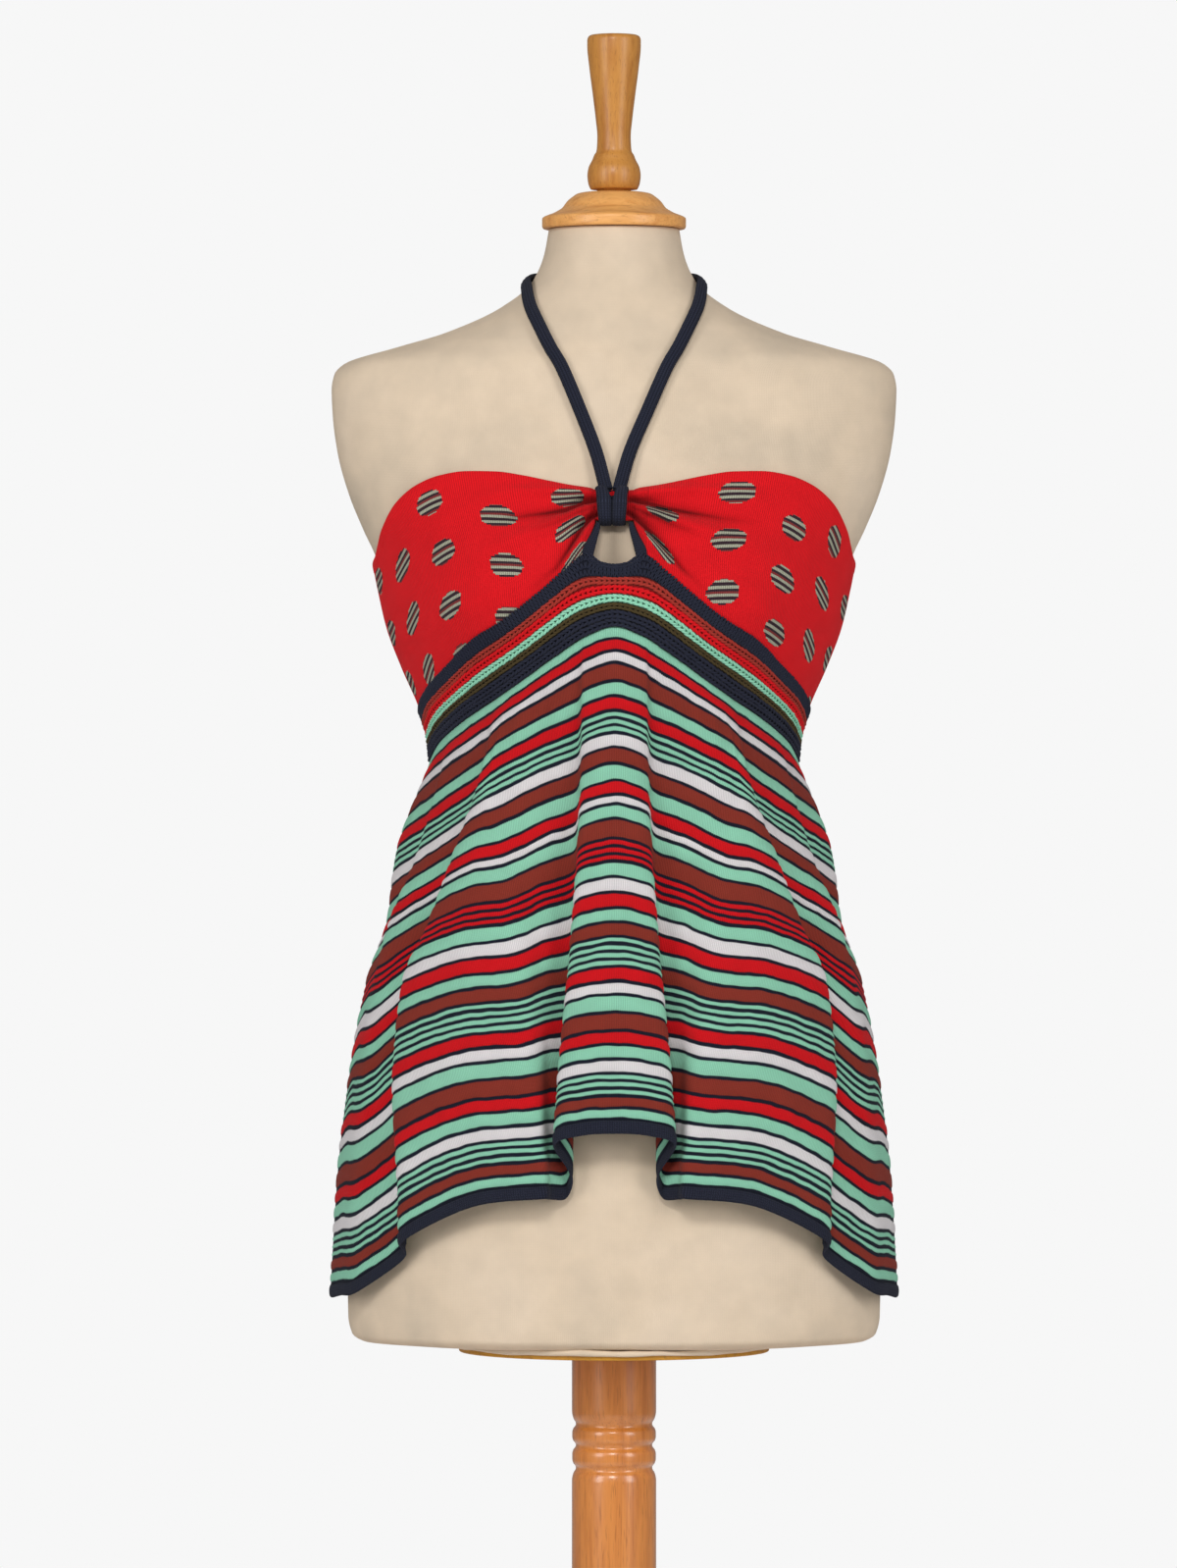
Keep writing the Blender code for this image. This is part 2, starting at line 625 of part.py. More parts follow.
def strap():
    """The knitted tube that runs from the knot round the back of the neck and down again."""
    rows = [(-left, height) for left, _, height in STRAP_LINE]
    rows += [(right, height) for _, right, height in reversed(STRAP_LINE[:-1])]
    off, step, around = STRAP["thick"] / 2 + STRAP["clear"], 2, 8
    middle, above = [], []
    for line, lift in ((middle, off), (above, off + 0.01)):
        knots = [on_form(angle, height, lift) for angle, height in rows]
        knots = [2 * knots[0] - knots[1]] + knots + [2 * knots[-1] - knots[-2]]
        for i in range(len(rows) - 1):
            line += [through(*knots[i : i + 4], k / step) for k in range(step)]
        line.append(knots[-2])
    points, faces = [], []
    for i, point in enumerate(middle):
        along = (middle[min(i + 1, len(middle) - 1)] - middle[max(i - 1, 0)]).normalized()
        out = (above[i] - point).normalized()
        aside = along.cross(out).normalized()
        out = aside.cross(along).normalized()
        wide, high = aside * STRAP["wide"] / 2, out * STRAP["thick"] / 2
        turns = [2 * math.pi * k / around for k in range(around)]
        points += [point + wide * math.cos(turn) + high * math.sin(turn) for turn in turns]
    for i in range(len(middle) - 1):
        for k in range(around):
            a, b = i * around + k, i * around + (k + 1) % around
            faces.append((a, b, b + around, a + around))
    faces += [tuple(range(around)), tuple(range(len(points) - around, len(points)))]
    solid("neck_strap", points, faces, "navy_knit")


def loop():
    """The knitted loop round the middle of the red front, its front showing as two lobes."""
    top, bottom, thick = LOOP["top"], LOOP["bottom"], LOOP["thick"]
    panel = on_form(0, (top + bottom) / 2, FORM_CLEAR + JERSEY / 2)
    lean = on_form(0, top, 0) - on_form(0, bottom, 0)
    lean = lean.normalized()
    out = Vector((0, lean.z, -lean.y)) * -1
    tall = (top - bottom) / 2 - LOOP["thin"] / 2
    deep = JERSEY / 2 + 0.0024 + FIT * 2 + thick / 2
    back_deep = JERSEY / 2 + FIT * 2 + 0.0018
    ring = 20
    points, faces = [], []
    left_lobe = ((-1.0, 0.0), (-0.85, 0.8), (-0.5, 1.0), (-0.15, 0.8), (0.0, 0.45))
    right_lobe = ((0.15, 0.8), (0.5, 1.0), (0.85, 0.8), (1.0, 0.0))
    section = left_lobe + right_lobe + ((0.6, -0.9), (0.0, -1.0), (-0.6, -0.9))
    for i in range(ring):
        turn = 2 * math.pi * i / ring
        rise, ahead = math.sin(turn), math.cos(turn)
        reach = deep if ahead > 0 else back_deep
        square = 2 / 3.2
        place = lean * tall * math.copysign(abs(rise) ** square, rise)
        place += out * reach * math.copysign(abs(ahead) ** square, ahead)
        facing = (lean * rise + out * ahead).normalized()
        half_thick = LOOP["thin"] / 2 + (thick - LOOP["thin"]) / 2 * max(ahead, 0.0)
        half_wide = (LOOP["wide_bottom"] + (LOOP["wide_top"] - LOOP["wide_bottom"]) * (rise + 1) / 2) / 2
        for wide, high in section:
            across = Vector((LOOP["across"] + half_wide * wide, 0, 0))
            points.append(panel + place + across + facing * half_thick * high)
    count = len(section)
    for i in range(ring):
        for k in range(count):
            a, b = i * count + k, i * count + (k + 1) % count
            c, d = ((i + 1) % ring) * count + (k + 1) % count, ((i + 1) % ring) * count + k
            faces.append((a, b, c, d))
    solid("centre_loop", points, faces, "navy_knit")


def build():
    for old in list(bpy.data.objects):
        bpy.data.objects.remove(old)
    collection = bpy.data.collections.new("knit_top_on_form")
    bpy.context.scene.collection.children.link(collection)
    dress_form()
    stand()
    red_top()
    keyhole_trims()
    under_bust_band()
    skirt()
    strap()
    loop()


build()
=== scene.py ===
import math

import bpy
import numpy as np
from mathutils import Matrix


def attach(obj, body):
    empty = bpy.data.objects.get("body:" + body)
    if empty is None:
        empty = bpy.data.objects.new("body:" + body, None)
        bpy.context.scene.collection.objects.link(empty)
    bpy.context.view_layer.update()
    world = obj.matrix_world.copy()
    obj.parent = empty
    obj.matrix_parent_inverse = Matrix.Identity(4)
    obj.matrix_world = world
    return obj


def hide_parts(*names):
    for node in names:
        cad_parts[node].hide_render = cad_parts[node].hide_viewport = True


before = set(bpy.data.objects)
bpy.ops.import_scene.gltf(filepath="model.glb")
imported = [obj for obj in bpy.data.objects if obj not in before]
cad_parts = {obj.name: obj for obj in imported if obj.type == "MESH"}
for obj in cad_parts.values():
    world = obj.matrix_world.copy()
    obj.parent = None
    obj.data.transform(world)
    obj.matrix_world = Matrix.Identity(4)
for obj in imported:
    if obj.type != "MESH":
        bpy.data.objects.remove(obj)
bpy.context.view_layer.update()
print("frame loaded")

# sizes shared with the solids, in metres
formClear = 0.0018  # between the form and the inside of the cloth
clothMiddle = formClear + 0.001  # from the form to the middle of the cloth's wall
seamGap = 0.0005
seamLap = 0.0008  # how far the red cloth goes behind the band
sideAngle = 89.93  # degrees from the middle of the front to the seam at the side


def metres(rows):
    # a table in millimetres, in metres
    return [tuple(value / 1000 for value in row) for row in rows]


formSections = metres((
    # in mm: height, half width, front, back
    (550, 115, 85, 90), (553, 174, 108, 115), (558, 181.5, 115, 121), (570, 184.2, 116.5, 124),
    (610, 184.8, 117.5, 127), (665.6, 182.5, 117, 129), (733.6, 175, 113, 127), (801.6, 163, 107, 118),
    (860.8, 147, 99, 104), (903.6, 133, 92, 92), (942, 122.5, 87, 84), (970, 124.5, 90, 85),
    (995, 133, 97, 89), (1020, 144, 105, 95), (1048, 154.5, 111, 101), (1074, 160.5, 113, 106),
    (1095, 165, 112, 109), (1113.7, 173.5, 109, 110), (1139.6, 184, 101, 109), (1167, 191.5, 91, 104),
    (1193, 195, 81, 95), (1211.6, 195.8, 73, 86), (1221.8, 194, 69, 80), (1229.3, 187, 66, 75),
    (1240.9, 150, 61, 68), (1250.4, 118, 58, 63), (1268, 79, 54, 59), (1285.8, 57, 51, 55),
    (1305, 48.5, 47.5, 49), (1322.5, 45.2, 45, 45),
))
bustShape = {"across": 0.082, "height": 1.070, "wide": 0.050, "tall": 0.050, "out": 0.020}

neckline = (
    # angle from the middle of the front, height
    (0, 1.1368), (3.9, 1.1368), (4.6, 1.1378), (5.4, 1.1386), (8.5, 1.1402), (14.1, 1.144), (19.6, 1.1478),
    (25.4, 1.1506), (32.5, 1.1512), (39.3, 1.1488), (46.2, 1.143), (54.4, 1.132), (64, 1.116),
    (72, 1.104), (80, 1.0955), (90, 1.0915), (180, 1.089),
)
bandTop = (
    (0, 1.0845), (3, 1.0858), (5, 1.0894), (6.6, 1.0936), (11.4, 1.0834), (17.9, 1.0695),
    (27.9, 1.0518), (38.3, 1.0389), (50.1, 1.0212), (66.3, 1.005), (82, 0.993), (90, 0.99),
    (180, 0.99),
)
bandBottom = (
    (0, 1.0467), (6.9, 1.0408), (15.5, 1.0274), (25.1, 1.0124), (37.4, 0.9968), (52.7, 0.9825),
    (67.5, 0.97), (84.5, 0.956), (90, 0.954), (180, 0.954),
)
keyhole = metres((
    # in mm: height, half width of the opening, half width of the cut in the red panel
    (1089.4, 15, 21), (1094.9, 13.6, 20.4),
    (1099.3, 12.5, 18.8), (1105.6, 10.9, 15.7),
    (1111.2, 9.7, 13.3), (1114.6, 9.6, 12.2),
))


def curveOf(rows, column=1, levelStart=False):
    # one column of a table as a smooth curve that never overshoots its rows
    xs = np.array([row[0] for row in rows], float)
    ys = np.array([row[column] for row in rows], float)
    rise = np.diff(ys) / np.diff(xs)
    slope = np.concatenate([rise[:1], np.zeros(len(rise) - 1), rise[-1:]])
    same = rise[:-1] * rise[1:] > 0
    slope[1:-1][same] = (2 * rise[:-1] * rise[1:])[same] / (rise[:-1] + rise[1:])[same]
    if levelStart:
        slope[0] = 0.0

    def at(value):
        value = np.clip(value, xs[0], xs[-1])
        i = np.clip(np.searchsorted(xs, value, side="right") - 1, 0, len(rise) - 1)
        step = xs[i + 1] - xs[i]
        t = (value - xs[i]) / step
        start = (1 + 2 * t) * (1 - t) ** 2 * ys[i] + t * (1 - t) ** 2 * step * slope[i]
        return start + t * t * (3 - 2 * t) * ys[i + 1] - t * t * (1 - t) * step * slope[i + 1]

    return at


halfWidth, frontDepth, backDepth = (curveOf(formSections, column) for column in (1, 2, 3))
necklineAt, bandTopAt, bandBottomAt = (
    curveOf(rows, levelStart=True) for rows in (neckline, bandTop, bandBottom))


def unit(vectors):
    return vectors / np.maximum(np.linalg.norm(vectors, axis=-1, keepdims=True), 1e-9)


def fromMiddle(angle):
    # degrees from the middle of the front, the same to the left and to the right
    angle = np.abs(angle)
    return np.minimum(angle, 360 - angle)


def formPoint(angle, height, spanned=False):
    angle, height = np.broadcast_arrays(np.asarray(angle, float), np.asarray(height, float))
    sine, cosine = np.sin(np.radians(angle)), np.cos(np.radians(angle))
    across = halfWidth(height) * sine
    aside = np.abs(across) - bustShape["across"]
    if spanned:
        aside = np.maximum(aside, 0.0)
    near = (aside / bustShape["wide"]) ** 2 + ((height - bustShape["height"]) / bustShape["tall"]) ** 2
    ahead = np.where(cosine > 0, frontDepth(height), backDepth(height)) * cosine
    ahead = ahead + bustShape["out"] * np.exp(-near) * np.sqrt(np.maximum(cosine, 0))
    return np.stack([across, -ahead, height], axis=-1)


def formOutward(angle, height, turn=1.5, rise=0.004):
    angle, height = np.asarray(angle, float), np.asarray(height, float)
    beside = formPoint(angle + turn, height, True) - formPoint(angle - turn, height, True)
    above = formPoint(angle, height + rise, True) - formPoint(angle, height - rise, True)
    return unit(np.cross(beside, above))


def onForm(angle, height, off):
    return formPoint(angle, height, True) + formOutward(angle, height) * off


def outwardOf(grid):
    # the outward direction of a grid of columns that run top to bottom, seen left to right
    beside = np.gradient(grid, axis=0)
    below = np.gradient(grid, axis=1)
    return unit(np.cross(below, beside))


def lengthsAlong(points, axis):
    steps = np.linalg.norm(np.diff(points, axis=axis), axis=-1)
    start = np.zeros_like(np.take(steps, [0], axis=axis))
    return np.concatenate([start, np.cumsum(steps, axis=axis)], axis=axis)


def creaseRelief(grid, creases, power=2.0, finer=14):
    # creases: half width, then (across, height, out) of the points along each, in mm; a low power is sharp
    relief = np.zeros(grid.shape[:2])
    for wide, path in creases:
        knots = []
        for across, height, _ in path:
            away = (grid[..., 0] - across / 1000) ** 2 + (grid[..., 2] - height / 1000) ** 2
            knots.append(grid[np.unravel_index(np.argmin(away), away.shape)])
        share = np.linspace(0, len(path) - 1, finer * (len(path) - 1) + 1)
        places = np.stack([np.interp(share, range(len(path)), row) for row in np.transpose(knots)], -1)
        out = np.interp(share, range(len(path)), [point[2] for point in path])
        away = np.linalg.norm(grid[:, :, None] - places, axis=-1)
        nearest = away.argmin(axis=-1)
        distance = np.take_along_axis(away, nearest[..., None], -1)[..., 0]
        relief += out[nearest] / 1000 * np.exp(-((distance * 1000 / wide) ** power))
    return relief


def paintCreaseShade(piece, depth):
    # painted shade in the grooves: 0 to 1, how far cloth lies in a groove, which its finish paints darker as
    # shade
    values = np.concatenate([depth.ravel(), depth.ravel()]).astype(np.float32)
    piece.data.attributes.new("paintedCreaseShade", "FLOAT", "POINT").data.foreach_set("value", values)


def addPiece(name, points, faces, uv, finish, wraps=(0, 0)):
    # wraps: how far u and v run round a closed piece, so that no face spans the whole of it
    mesh = bpy.data.meshes.new(name)
    mesh.from_pydata(points.reshape(-1, 3).tolist(), [], faces)
    if uv is not None:
        uv = uv.reshape(-1, 2)
        layer = mesh.uv_layers.new(name="cloth")
        corners = np.empty(len(mesh.loops), int)
        mesh.loops.foreach_get("vertex_index", corners)
        starts = np.empty(len(mesh.polygons), int)
        mesh.polygons.foreach_get("loop_start", starts)
        sides = np.diff(np.append(starts, len(corners)))
        places = uv[corners].copy()
        for k, wrap in enumerate(wraps):
            if wrap:
                spans = np.maximum.reduceat(places[:, k], starts) - np.minimum.reduceat(places[:, k], starts)
                behind = np.repeat(spans > wrap / 2, sides) & (places[:, k] < wrap / 2)
                places[behind, k] += wrap
        layer.uv.foreach_set("vector", places.astype(np.float32).ravel())
    mesh.shade_smooth()
    mesh.materials.append(finish)
    piece = bpy.data.objects.new(name, mesh)
    bpy.context.scene.collection.objects.link(piece)
    return piece


clothRim = {"over": 0.6, "least": 0.25}  # a rim thins over this share of the wall, to this share of it


def clothWall(name, middle, outward, thick, finish, uv, relief=0.0, rounded=(True, True)):
    # a closed wall round a grid; relief moves both faces, and the top and bottom rims are rounded
    columns, rows = middle.shape[:2]
    down = lengthsAlong(middle, 1)
    up = down[:, -1:] - down
    share = np.ones((columns, rows))
    for edge, wanted in zip((down, up), rounded):
        if wanted:
            inside = np.clip(edge / (thick * clothRim["over"]), 0, 1)
            rounding = np.sqrt(1 - (1 - inside) ** 2)
            share = np.minimum(share, clothRim["least"] + (1 - clothRim["least"]) * rounding)
    moved = middle + outward * np.asarray(relief)[..., None]
    half = outward * (thick / 2 * share)[..., None]
    points = np.stack([moved + half, moved - half])
    front, back = np.arange(2 * columns * rows).reshape(2, columns, rows)
    strips = ((front[:-1], front[1:]), (back[1:], back[:-1]), (front[:, 0], back[:, 0]),
              (back[:, -1], front[:, -1]), (back[0], front[0]), (front[-1], back[-1]))
    faces = []
    for first, second in strips:
        corners = [first[..., :-1], first[..., 1:], second[..., 1:], second[..., :-1]]
        faces += np.stack(corners, -1).reshape(-1, 4).tolist()
    return addPiece(name, points, faces, np.stack([uv, uv]), finish)


def ringFaces(rings, around, closed=False, flipped=False):
    # faces that join rings of points; rings that don't meet again end in two more points, first and last
    faces = []
    for i in range(rings if closed else rings - 1):
        for k in range(around):
            low, high, after = i * around, (i + 1) % rings * around, (k + 1) % around
            faces.append((low + k, low + after, high + after, high + k))
    if not closed:
        start, last = rings * around, (rings - 1) * around
        for k in range(around):
            after = (k + 1) % around
            faces += [(start, after, k), (start + 1, last + k, last + after)]
    return [(face[0],) + face[:0:-1] for face in faces] if flipped else faces


def turnsOf(steps):
    return np.radians(np.arange(steps) * 360 / steps)


def placesOf(across, down):
    # places on the flat cloth for a whole grid
    return np.stack(np.broadcast_arrays(across, down), -1)


def clothPlaces(grid, row):
    # places measured across along one row and down along each column
    return placesOf(lengthsAlong(grid[:, row], 0)[:, None], lengthsAlong(grid, 1))


def ringsOf(radius, height, turns):
    # points of rings round the upright axis
    return np.stack(np.broadcast_arrays(radius * np.cos(turns), radius * np.sin(turns), height), -1)


def withEnds(grid, first, last):
    # a grid as one list, and the two points that close its ends
    return np.concatenate([grid.reshape(-1, grid.shape[-1]), [first, last]])


def turnedPiece(name, profile, finish, steps=96, fine=0.0012):
    # a turned piece from (radius, height) rows that run from its top down its outer side
    rows = np.array(profile, float)
    along = lengthsAlong(rows, 0)
    radius, height = (curveOf(list(zip(along, rows[:, k]))) for k in (0, 1))
    places = []
    for start, end in zip(along[:-1], along[1:]):
        count = max(1, min(14, round((end - start) / fine)))
        places += list(start + (end - start) * np.arange(count) / count)
    places = np.array(places[1:])
    rings = ringsOf(radius(places)[:, None], height(places)[:, None], turnsOf(steps))
    points = withEnds(rings, [0, 0, rows[0, 1]], [0, 0, rows[-1, 1]])
    return addPiece(name, points, ringFaces(len(places), steps, flipped=True), None, finish)


def wear(piece, node):
    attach(piece, "root")
    if node:
        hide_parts(node)


def linear(hexColour):
    channels = [int(hexColour[i : i + 2], 16) / 255 for i in (0, 2, 4)]
    return [c / 12.92 if c <= 0.04045 else ((c + 0.055) / 1.055) ** 2.4 for c in channels] + [1.0]


def addNode(tree, kind, inputs=None, **settings):
    # adds a node; inputs are values or the outputs of other nodes, by name or number
    node = tree.nodes.new(kind)
    for name, value in settings.items():
        setattr(node, name, value)
    for key, value in (inputs or {}).items():
        socket = node.inputs[key]
        if isinstance(value, bpy.types.NodeSocket):
            tree.links.new(value, socket)
        else:
            socket.default_value = value
    return node


def maths(tree, operation, *values):
    return addNode(tree, "ShaderNodeMath", dict(enumerate(values)), operation=operation).outputs[0]


def vectorOf(tree, *values):
    return addNode(tree, "ShaderNodeCombineXYZ", dict(enumerate(values))).outputs[0]


def spread(tree, value, low, high):
    # a value from 0 to 1, laid out from low to high
    return addNode(tree, "ShaderNodeMapRange", {"Value": value, "To Min": low, "To Max": high}).outputs[0]


def noiseAt(tree, place, scale, detail, **more):
    given = {"Vector": place, "Scale": scale, "Detail": detail, **more}
    return addNode(tree, "ShaderNodeTexNoise", given).outputs["Fac"]


def rampOf(tree, value, stops, interpolation="LINEAR"):
    node = addNode(tree, "ShaderNodeValToRGB", {0: value})
    ramp = node.color_ramp
    ramp.interpolation = interpolation
    while len(ramp.elements) > 1:
        ramp.elements.remove(ramp.elements[-1])
    ramp.elements[0].position, ramp.elements[0].color = stops[0]
    for place, colour in stops[1:]:
        ramp.elements.new(place).color = colour
    return node.outputs[0]


def mixOf(tree, factor, first, second):
    given = {"Factor": factor, 6: first, 7: second}
    return addNode(tree, "ShaderNodeMix", given, data_type="RGBA").outputs[2]


def lightened(tree, colour, value):
    return addNode(tree, "ShaderNodeHueSaturation", {"Color": colour, "Value": value}).outputs[0]


def objectPlace(tree):
    return addNode(tree, "ShaderNodeTexCoord").outputs["Object"]


def newFinish(name, roughness, sheen=0.0, specular=0.5, coat=0.0):
    finish = bpy.data.materials.new(name)
    finish.use_nodes = True
    shader = finish.node_tree.nodes["Principled BSDF"]
    values = {"Roughness": roughness, "Sheen Weight": sheen, "Sheen Roughness": 0.5,
              "Specular IOR Level": specular, "Coat Weight": coat, "Coat Roughness": 0.22}
    for label, value in values.items():
        shader.inputs[label].default_value = value
    return finish, finish.node_tree, shader


def setSurface(tree, shader, colour, height, strength, distance):
    # the shader's colour, and its relief as bump
    tree.links.new(colour, shader.inputs["Base Color"])
    bump = addNode(tree, "ShaderNodeBump", {"Strength": strength, "Distance": distance, "Height": height})
    tree.links.new(bump.outputs[0], shader.inputs["Normal"])


def knitHeight(tree, across, down, wale, course, legs):
    # height of plain knitted stitches, 0 to 1: V-shaped legs down each wale, deeper with more legs
    crest = maths(tree, "DIVIDE", maths(tree, "PINGPONG", across, wale / 2), wale / 2)
    rib = maths(tree, "POWER", crest, 0.6)
    slanted = maths(tree, "MULTIPLY_ADD", crest, -0.55, maths(tree, "DIVIDE", down, course))
    wave = maths(tree, "SINE", maths(tree, "MULTIPLY", slanted, 2 * math.pi))
    return maths(tree, "MULTIPLY", rib, maths(tree, "MULTIPLY_ADD", wave, legs, 1 - legs))


yarnColours = {
    "red": "D5121B", "navy": "262938", "line": "161A28", "rust": "8B3327", "bandRust": "A2352B",
    "mint": "93D4B6", "olive": "4A3E24", "white": "E6E1E2",
    "spotLight": "9D9E8B", "spotDark": "33242B", "spotRust": "7A3030",
}


def yarnColour(name):
    return linear(yarnColours[name])


def knittedFinish(name, colourOf, wale, course, deep, stitchShadeRange=(0.66, 1.12), legs=0.3):
    # combed cotton yarn, plain knitted: matt, a little hairy, ribbed by its wales, its dye a little uneven;
    # painted shade darkens the stitches' low parts and the grooves, and painted highlight lightens the
    # stitches' crests
    finish, tree, shader = newFinish(name, roughness=0.92, sheen=0.03, specular=0.15)
    uv = addNode(tree, "ShaderNodeUVMap", uv_map="cloth").outputs[0]
    across, down = addNode(tree, "ShaderNodeSeparateXYZ", {0: uv}).outputs[:2]
    colour, extra = colourOf(tree, across, down)
    knit = knitHeight(tree, across, down, wale, course, legs)
    # painted shade: the colour darkens by up to 0.78 in the grooves, as if shadowed
    paintedCreaseShade = addNode(tree, "ShaderNodeAttribute", attribute_name="paintedCreaseShade").outputs["Fac"]
    paintedShadeFactor = maths(tree, "MULTIPLY_ADD", paintedCreaseShade, -0.78, 1.0)
    # painted shade and highlight: the stitches' low parts darker, their crests lighter, by the knit's height
    shaded = lightened(tree, colour, maths(tree, "MULTIPLY", spread(tree, knit, *stitchShadeRange), paintedShadeFactor))
    patches = noiseAt(tree, objectPlace(tree), scale=60.0, detail=3.0)
    dyed = lightened(tree, shaded, spread(tree, patches, 0.9, 1.1))
    height = knit if extra is None else maths(tree, "ADD", knit, extra)
    setSurface(tree, shader, dyed, height, strength=0.8, distance=deep)
    return finish


stripes = {
    "line": 2.9,  # mm of navy between two bands
    "whole": 350.0,
    "tooth": 1.5,  # mm between the steps that the stitches make along a stripe's edge
    "deepTooth": 0.0007,
    "wander": 0.0022,  # how far a line strays up and down, in metres
    "puff": 0.0008,  # how far a band stands above the line beside it
    "bands": (
        # colour, width in mm, from the band down to the hem
        ("mint", 8), ("red", 7), ("white", 7), ("rust", 12), ("mint", 9), ("red", 9), ("mint", 3),
        ("mint", 3), ("mint", 3), ("white", 9), ("rust", 10), ("mint", 11), ("red", 8), ("white", 5),
        ("mint", 9), ("rust", 13), ("red", 3), ("red", 3), ("red", 3), ("mint", 10), ("white", 9),
        ("red", 10), ("mint", 8), ("rust", 9), ("mint", 3), ("mint", 3), ("mint", 3), ("mint", 3),
        ("red", 9), ("white", 8), ("mint", 11), ("rust", 12), ("red", 8), ("mint", 9), ("white", 8),
        ("mint", 3), ("mint", 3), ("mint", 3), ("rust", 7), ("mint", 6),
    ),
}
total = sum(width + stripes["line"] for _, width in stripes["bands"])
stripeStarts, stripeRows, done = [], [], 0.0
for colour, width in stripes["bands"]:
    stripeStarts.append((done / total, colour))
    inner = ((0.0, 0.0), (0.5, 0.6)) if width < 5 else ((0.0, 0.0), (0.16, 0.75), (0.5, 1.0), (0.84, 0.75))
    stripeRows += [((done + width * place) / total, puff) for place, puff in inner]
    done += width
    stripeStarts.append((done / total, "line"))
    stripeRows.append((done / total, 0.0))
    done += stripes["line"]
stripeRows.append((1.0, 0.0))
print("stripes", len(stripes["bands"]), "rows", len(stripeRows))


def stripeColour(tree, across, down):
    # the steps that stitches make along each edge, then one constant ramp for each group of stripes
    tooth, group = stripes["tooth"] / 1000, 30
    folded = maths(tree, "PINGPONG", across, tooth / 2)
    stepped = maths(tree, "MULTIPLY_ADD", folded, stripes["deepTooth"] / (tooth / 2), down)
    stray = maths(tree, "SUBTRACT", noiseAt(tree, vectorOf(tree, across, down), scale=70.0, detail=1.0), 0.5)
    stepped = maths(tree, "MULTIPLY_ADD", stray, stripes["wander"], stepped)
    share = maths(tree, "DIVIDE", stepped, stripes["whole"] / 1000)
    colour = None
    for first in range(0, len(stripeStarts), group):
        part = stripeStarts[first : first + group]
        low = part[0][0]
        high = stripeStarts[first + group][0] if first + group < len(stripeStarts) else 1.0
        local = addNode(tree, "ShaderNodeMapRange", {0: share, 1: low, 2: high}).outputs[0]
        stops = [((place - low) / (high - low), yarnColour(name)) for place, name in part]
        later = rampOf(tree, local, stops, "CONSTANT")
        if colour is not None:
            later = mixOf(tree, maths(tree, "GREATER_THAN", share, low), colour, later)
        colour = later
    return colour, None


stripedJersey = knittedFinish("stripedCottonJersey", stripeColour, wale=0.0012, course=0.0011, deep=0.0005,
                              stitchShadeRange=(0.62, 1.15), legs=0.16)


spots = {
    "across": 0.048, "down": 0.037,  # pitch of the half-drop lattice
    "halfWide": 0.0120, "halfTall": 0.0086,
    "stitch": (0.0014, 0.0012, 1.0),
    "start": 0.0345,  # first row of spots below the neckline
    "clear": 0.0130,  # no spot nearer than this to the middle of the front
    "plain": 0.0080,  # no spot reaches into the turned edge
    "ribPitch": 0.0096,
    "ribs": ((0, "spotLight"), (0.22, "spotDark"), (0.4, "spotRust"), (0.56, "spotLight"),
             (0.76, "spotDark")),
}


def spotColour(tree, across, down):
    moved = maths(tree, "MULTIPLY_ADD", maths(tree, "SIGN", across), -spots["clear"], across)
    snapped = addNode(tree, "ShaderNodeVectorMath", {0: vectorOf(tree, moved, down), 1: spots["stitch"]},
                      operation="SNAP").outputs[0]
    parts = addNode(tree, "ShaderNodeSeparateXYZ", {0: snapped}).outputs
    column = maths(tree, "DIVIDE", parts[0], spots["across"])
    odd = maths(tree, "FLOORED_MODULO", maths(tree, "FLOOR", column), 2.0)
    dropped = maths(tree, "MULTIPLY_ADD", odd, spots["down"] / 2, parts[1])
    row = maths(tree, "DIVIDE", maths(tree, "SUBTRACT", dropped, spots["start"]), spots["down"])
    row = maths(tree, "ADD", row, 0.5)
    squares = []
    for value, pitch, half in ((column, spots["across"], spots["halfWide"]),
                               (row, spots["down"], spots["halfTall"])):
        centred = maths(tree, "SUBTRACT", maths(tree, "FRACT", value), 0.5)
        share = maths(tree, "MULTIPLY", centred, pitch / half)
        squares.append(maths(tree, "MULTIPLY", share, share))
    oval = maths(tree, "LESS_THAN", maths(tree, "ADD", *squares), 1.0)
    inside = maths(tree, "MULTIPLY", oval, maths(tree, "GREATER_THAN", down, spots["plain"]))
    rib = maths(tree, "FRACT", maths(tree, "DIVIDE", down, spots["ribPitch"]))
    ribs = rampOf(tree, rib, [(place, yarnColour(name)) for place, name in spots["ribs"]], "CONSTANT")
    return mixOf(tree, inside, yarnColour("red"), ribs), maths(tree, "MULTIPLY", inside, -0.5)


spottedJersey = knittedFinish("spottedCottonJersey", spotColour, wale=0.0015, course=0.0012, deep=0.0005,
                              stitchShadeRange=(0.72, 1.34), legs=0.1)


courses = (
    # colour, width in metres, kind of stitch, rows
    ("navy", 0.0091, "post", 3),
    ("bandRust", 0.0052, "chain", 1),
    ("red", 0.0058, "chain", 1),
    ("mint", 0.0054, "chain", 1),
    ("olive", 0.0046, "chain", 1),
    ("navy", 0.0115, "chain", 2),
)
bandWide = sum(course[1] for course in courses)


def colourByCourse(tree):
    course = addNode(tree, "ShaderNodeAttribute", attribute_name="course").outputs["Fac"]
    stops = [(k / len(courses), yarnColour(row[0])) for k, row in enumerate(courses)]
    return rampOf(tree, course, stops, "CONSTANT")


def yarnFinish(name):
    # thick twisted cotton yarn: matt, with the slanting lines of its twist
    finish, tree, shader = newFinish(name, roughness=0.9, sheen=0.04, specular=0.15)
    fibre = noiseAt(tree, objectPlace(tree), scale=900.0, detail=2.0)
    shaded = lightened(tree, colourByCourse(tree), spread(tree, fibre, 0.72, 1.25))
    setSurface(tree, shader, shaded, fibre, strength=0.5, distance=0.0003)
    return finish


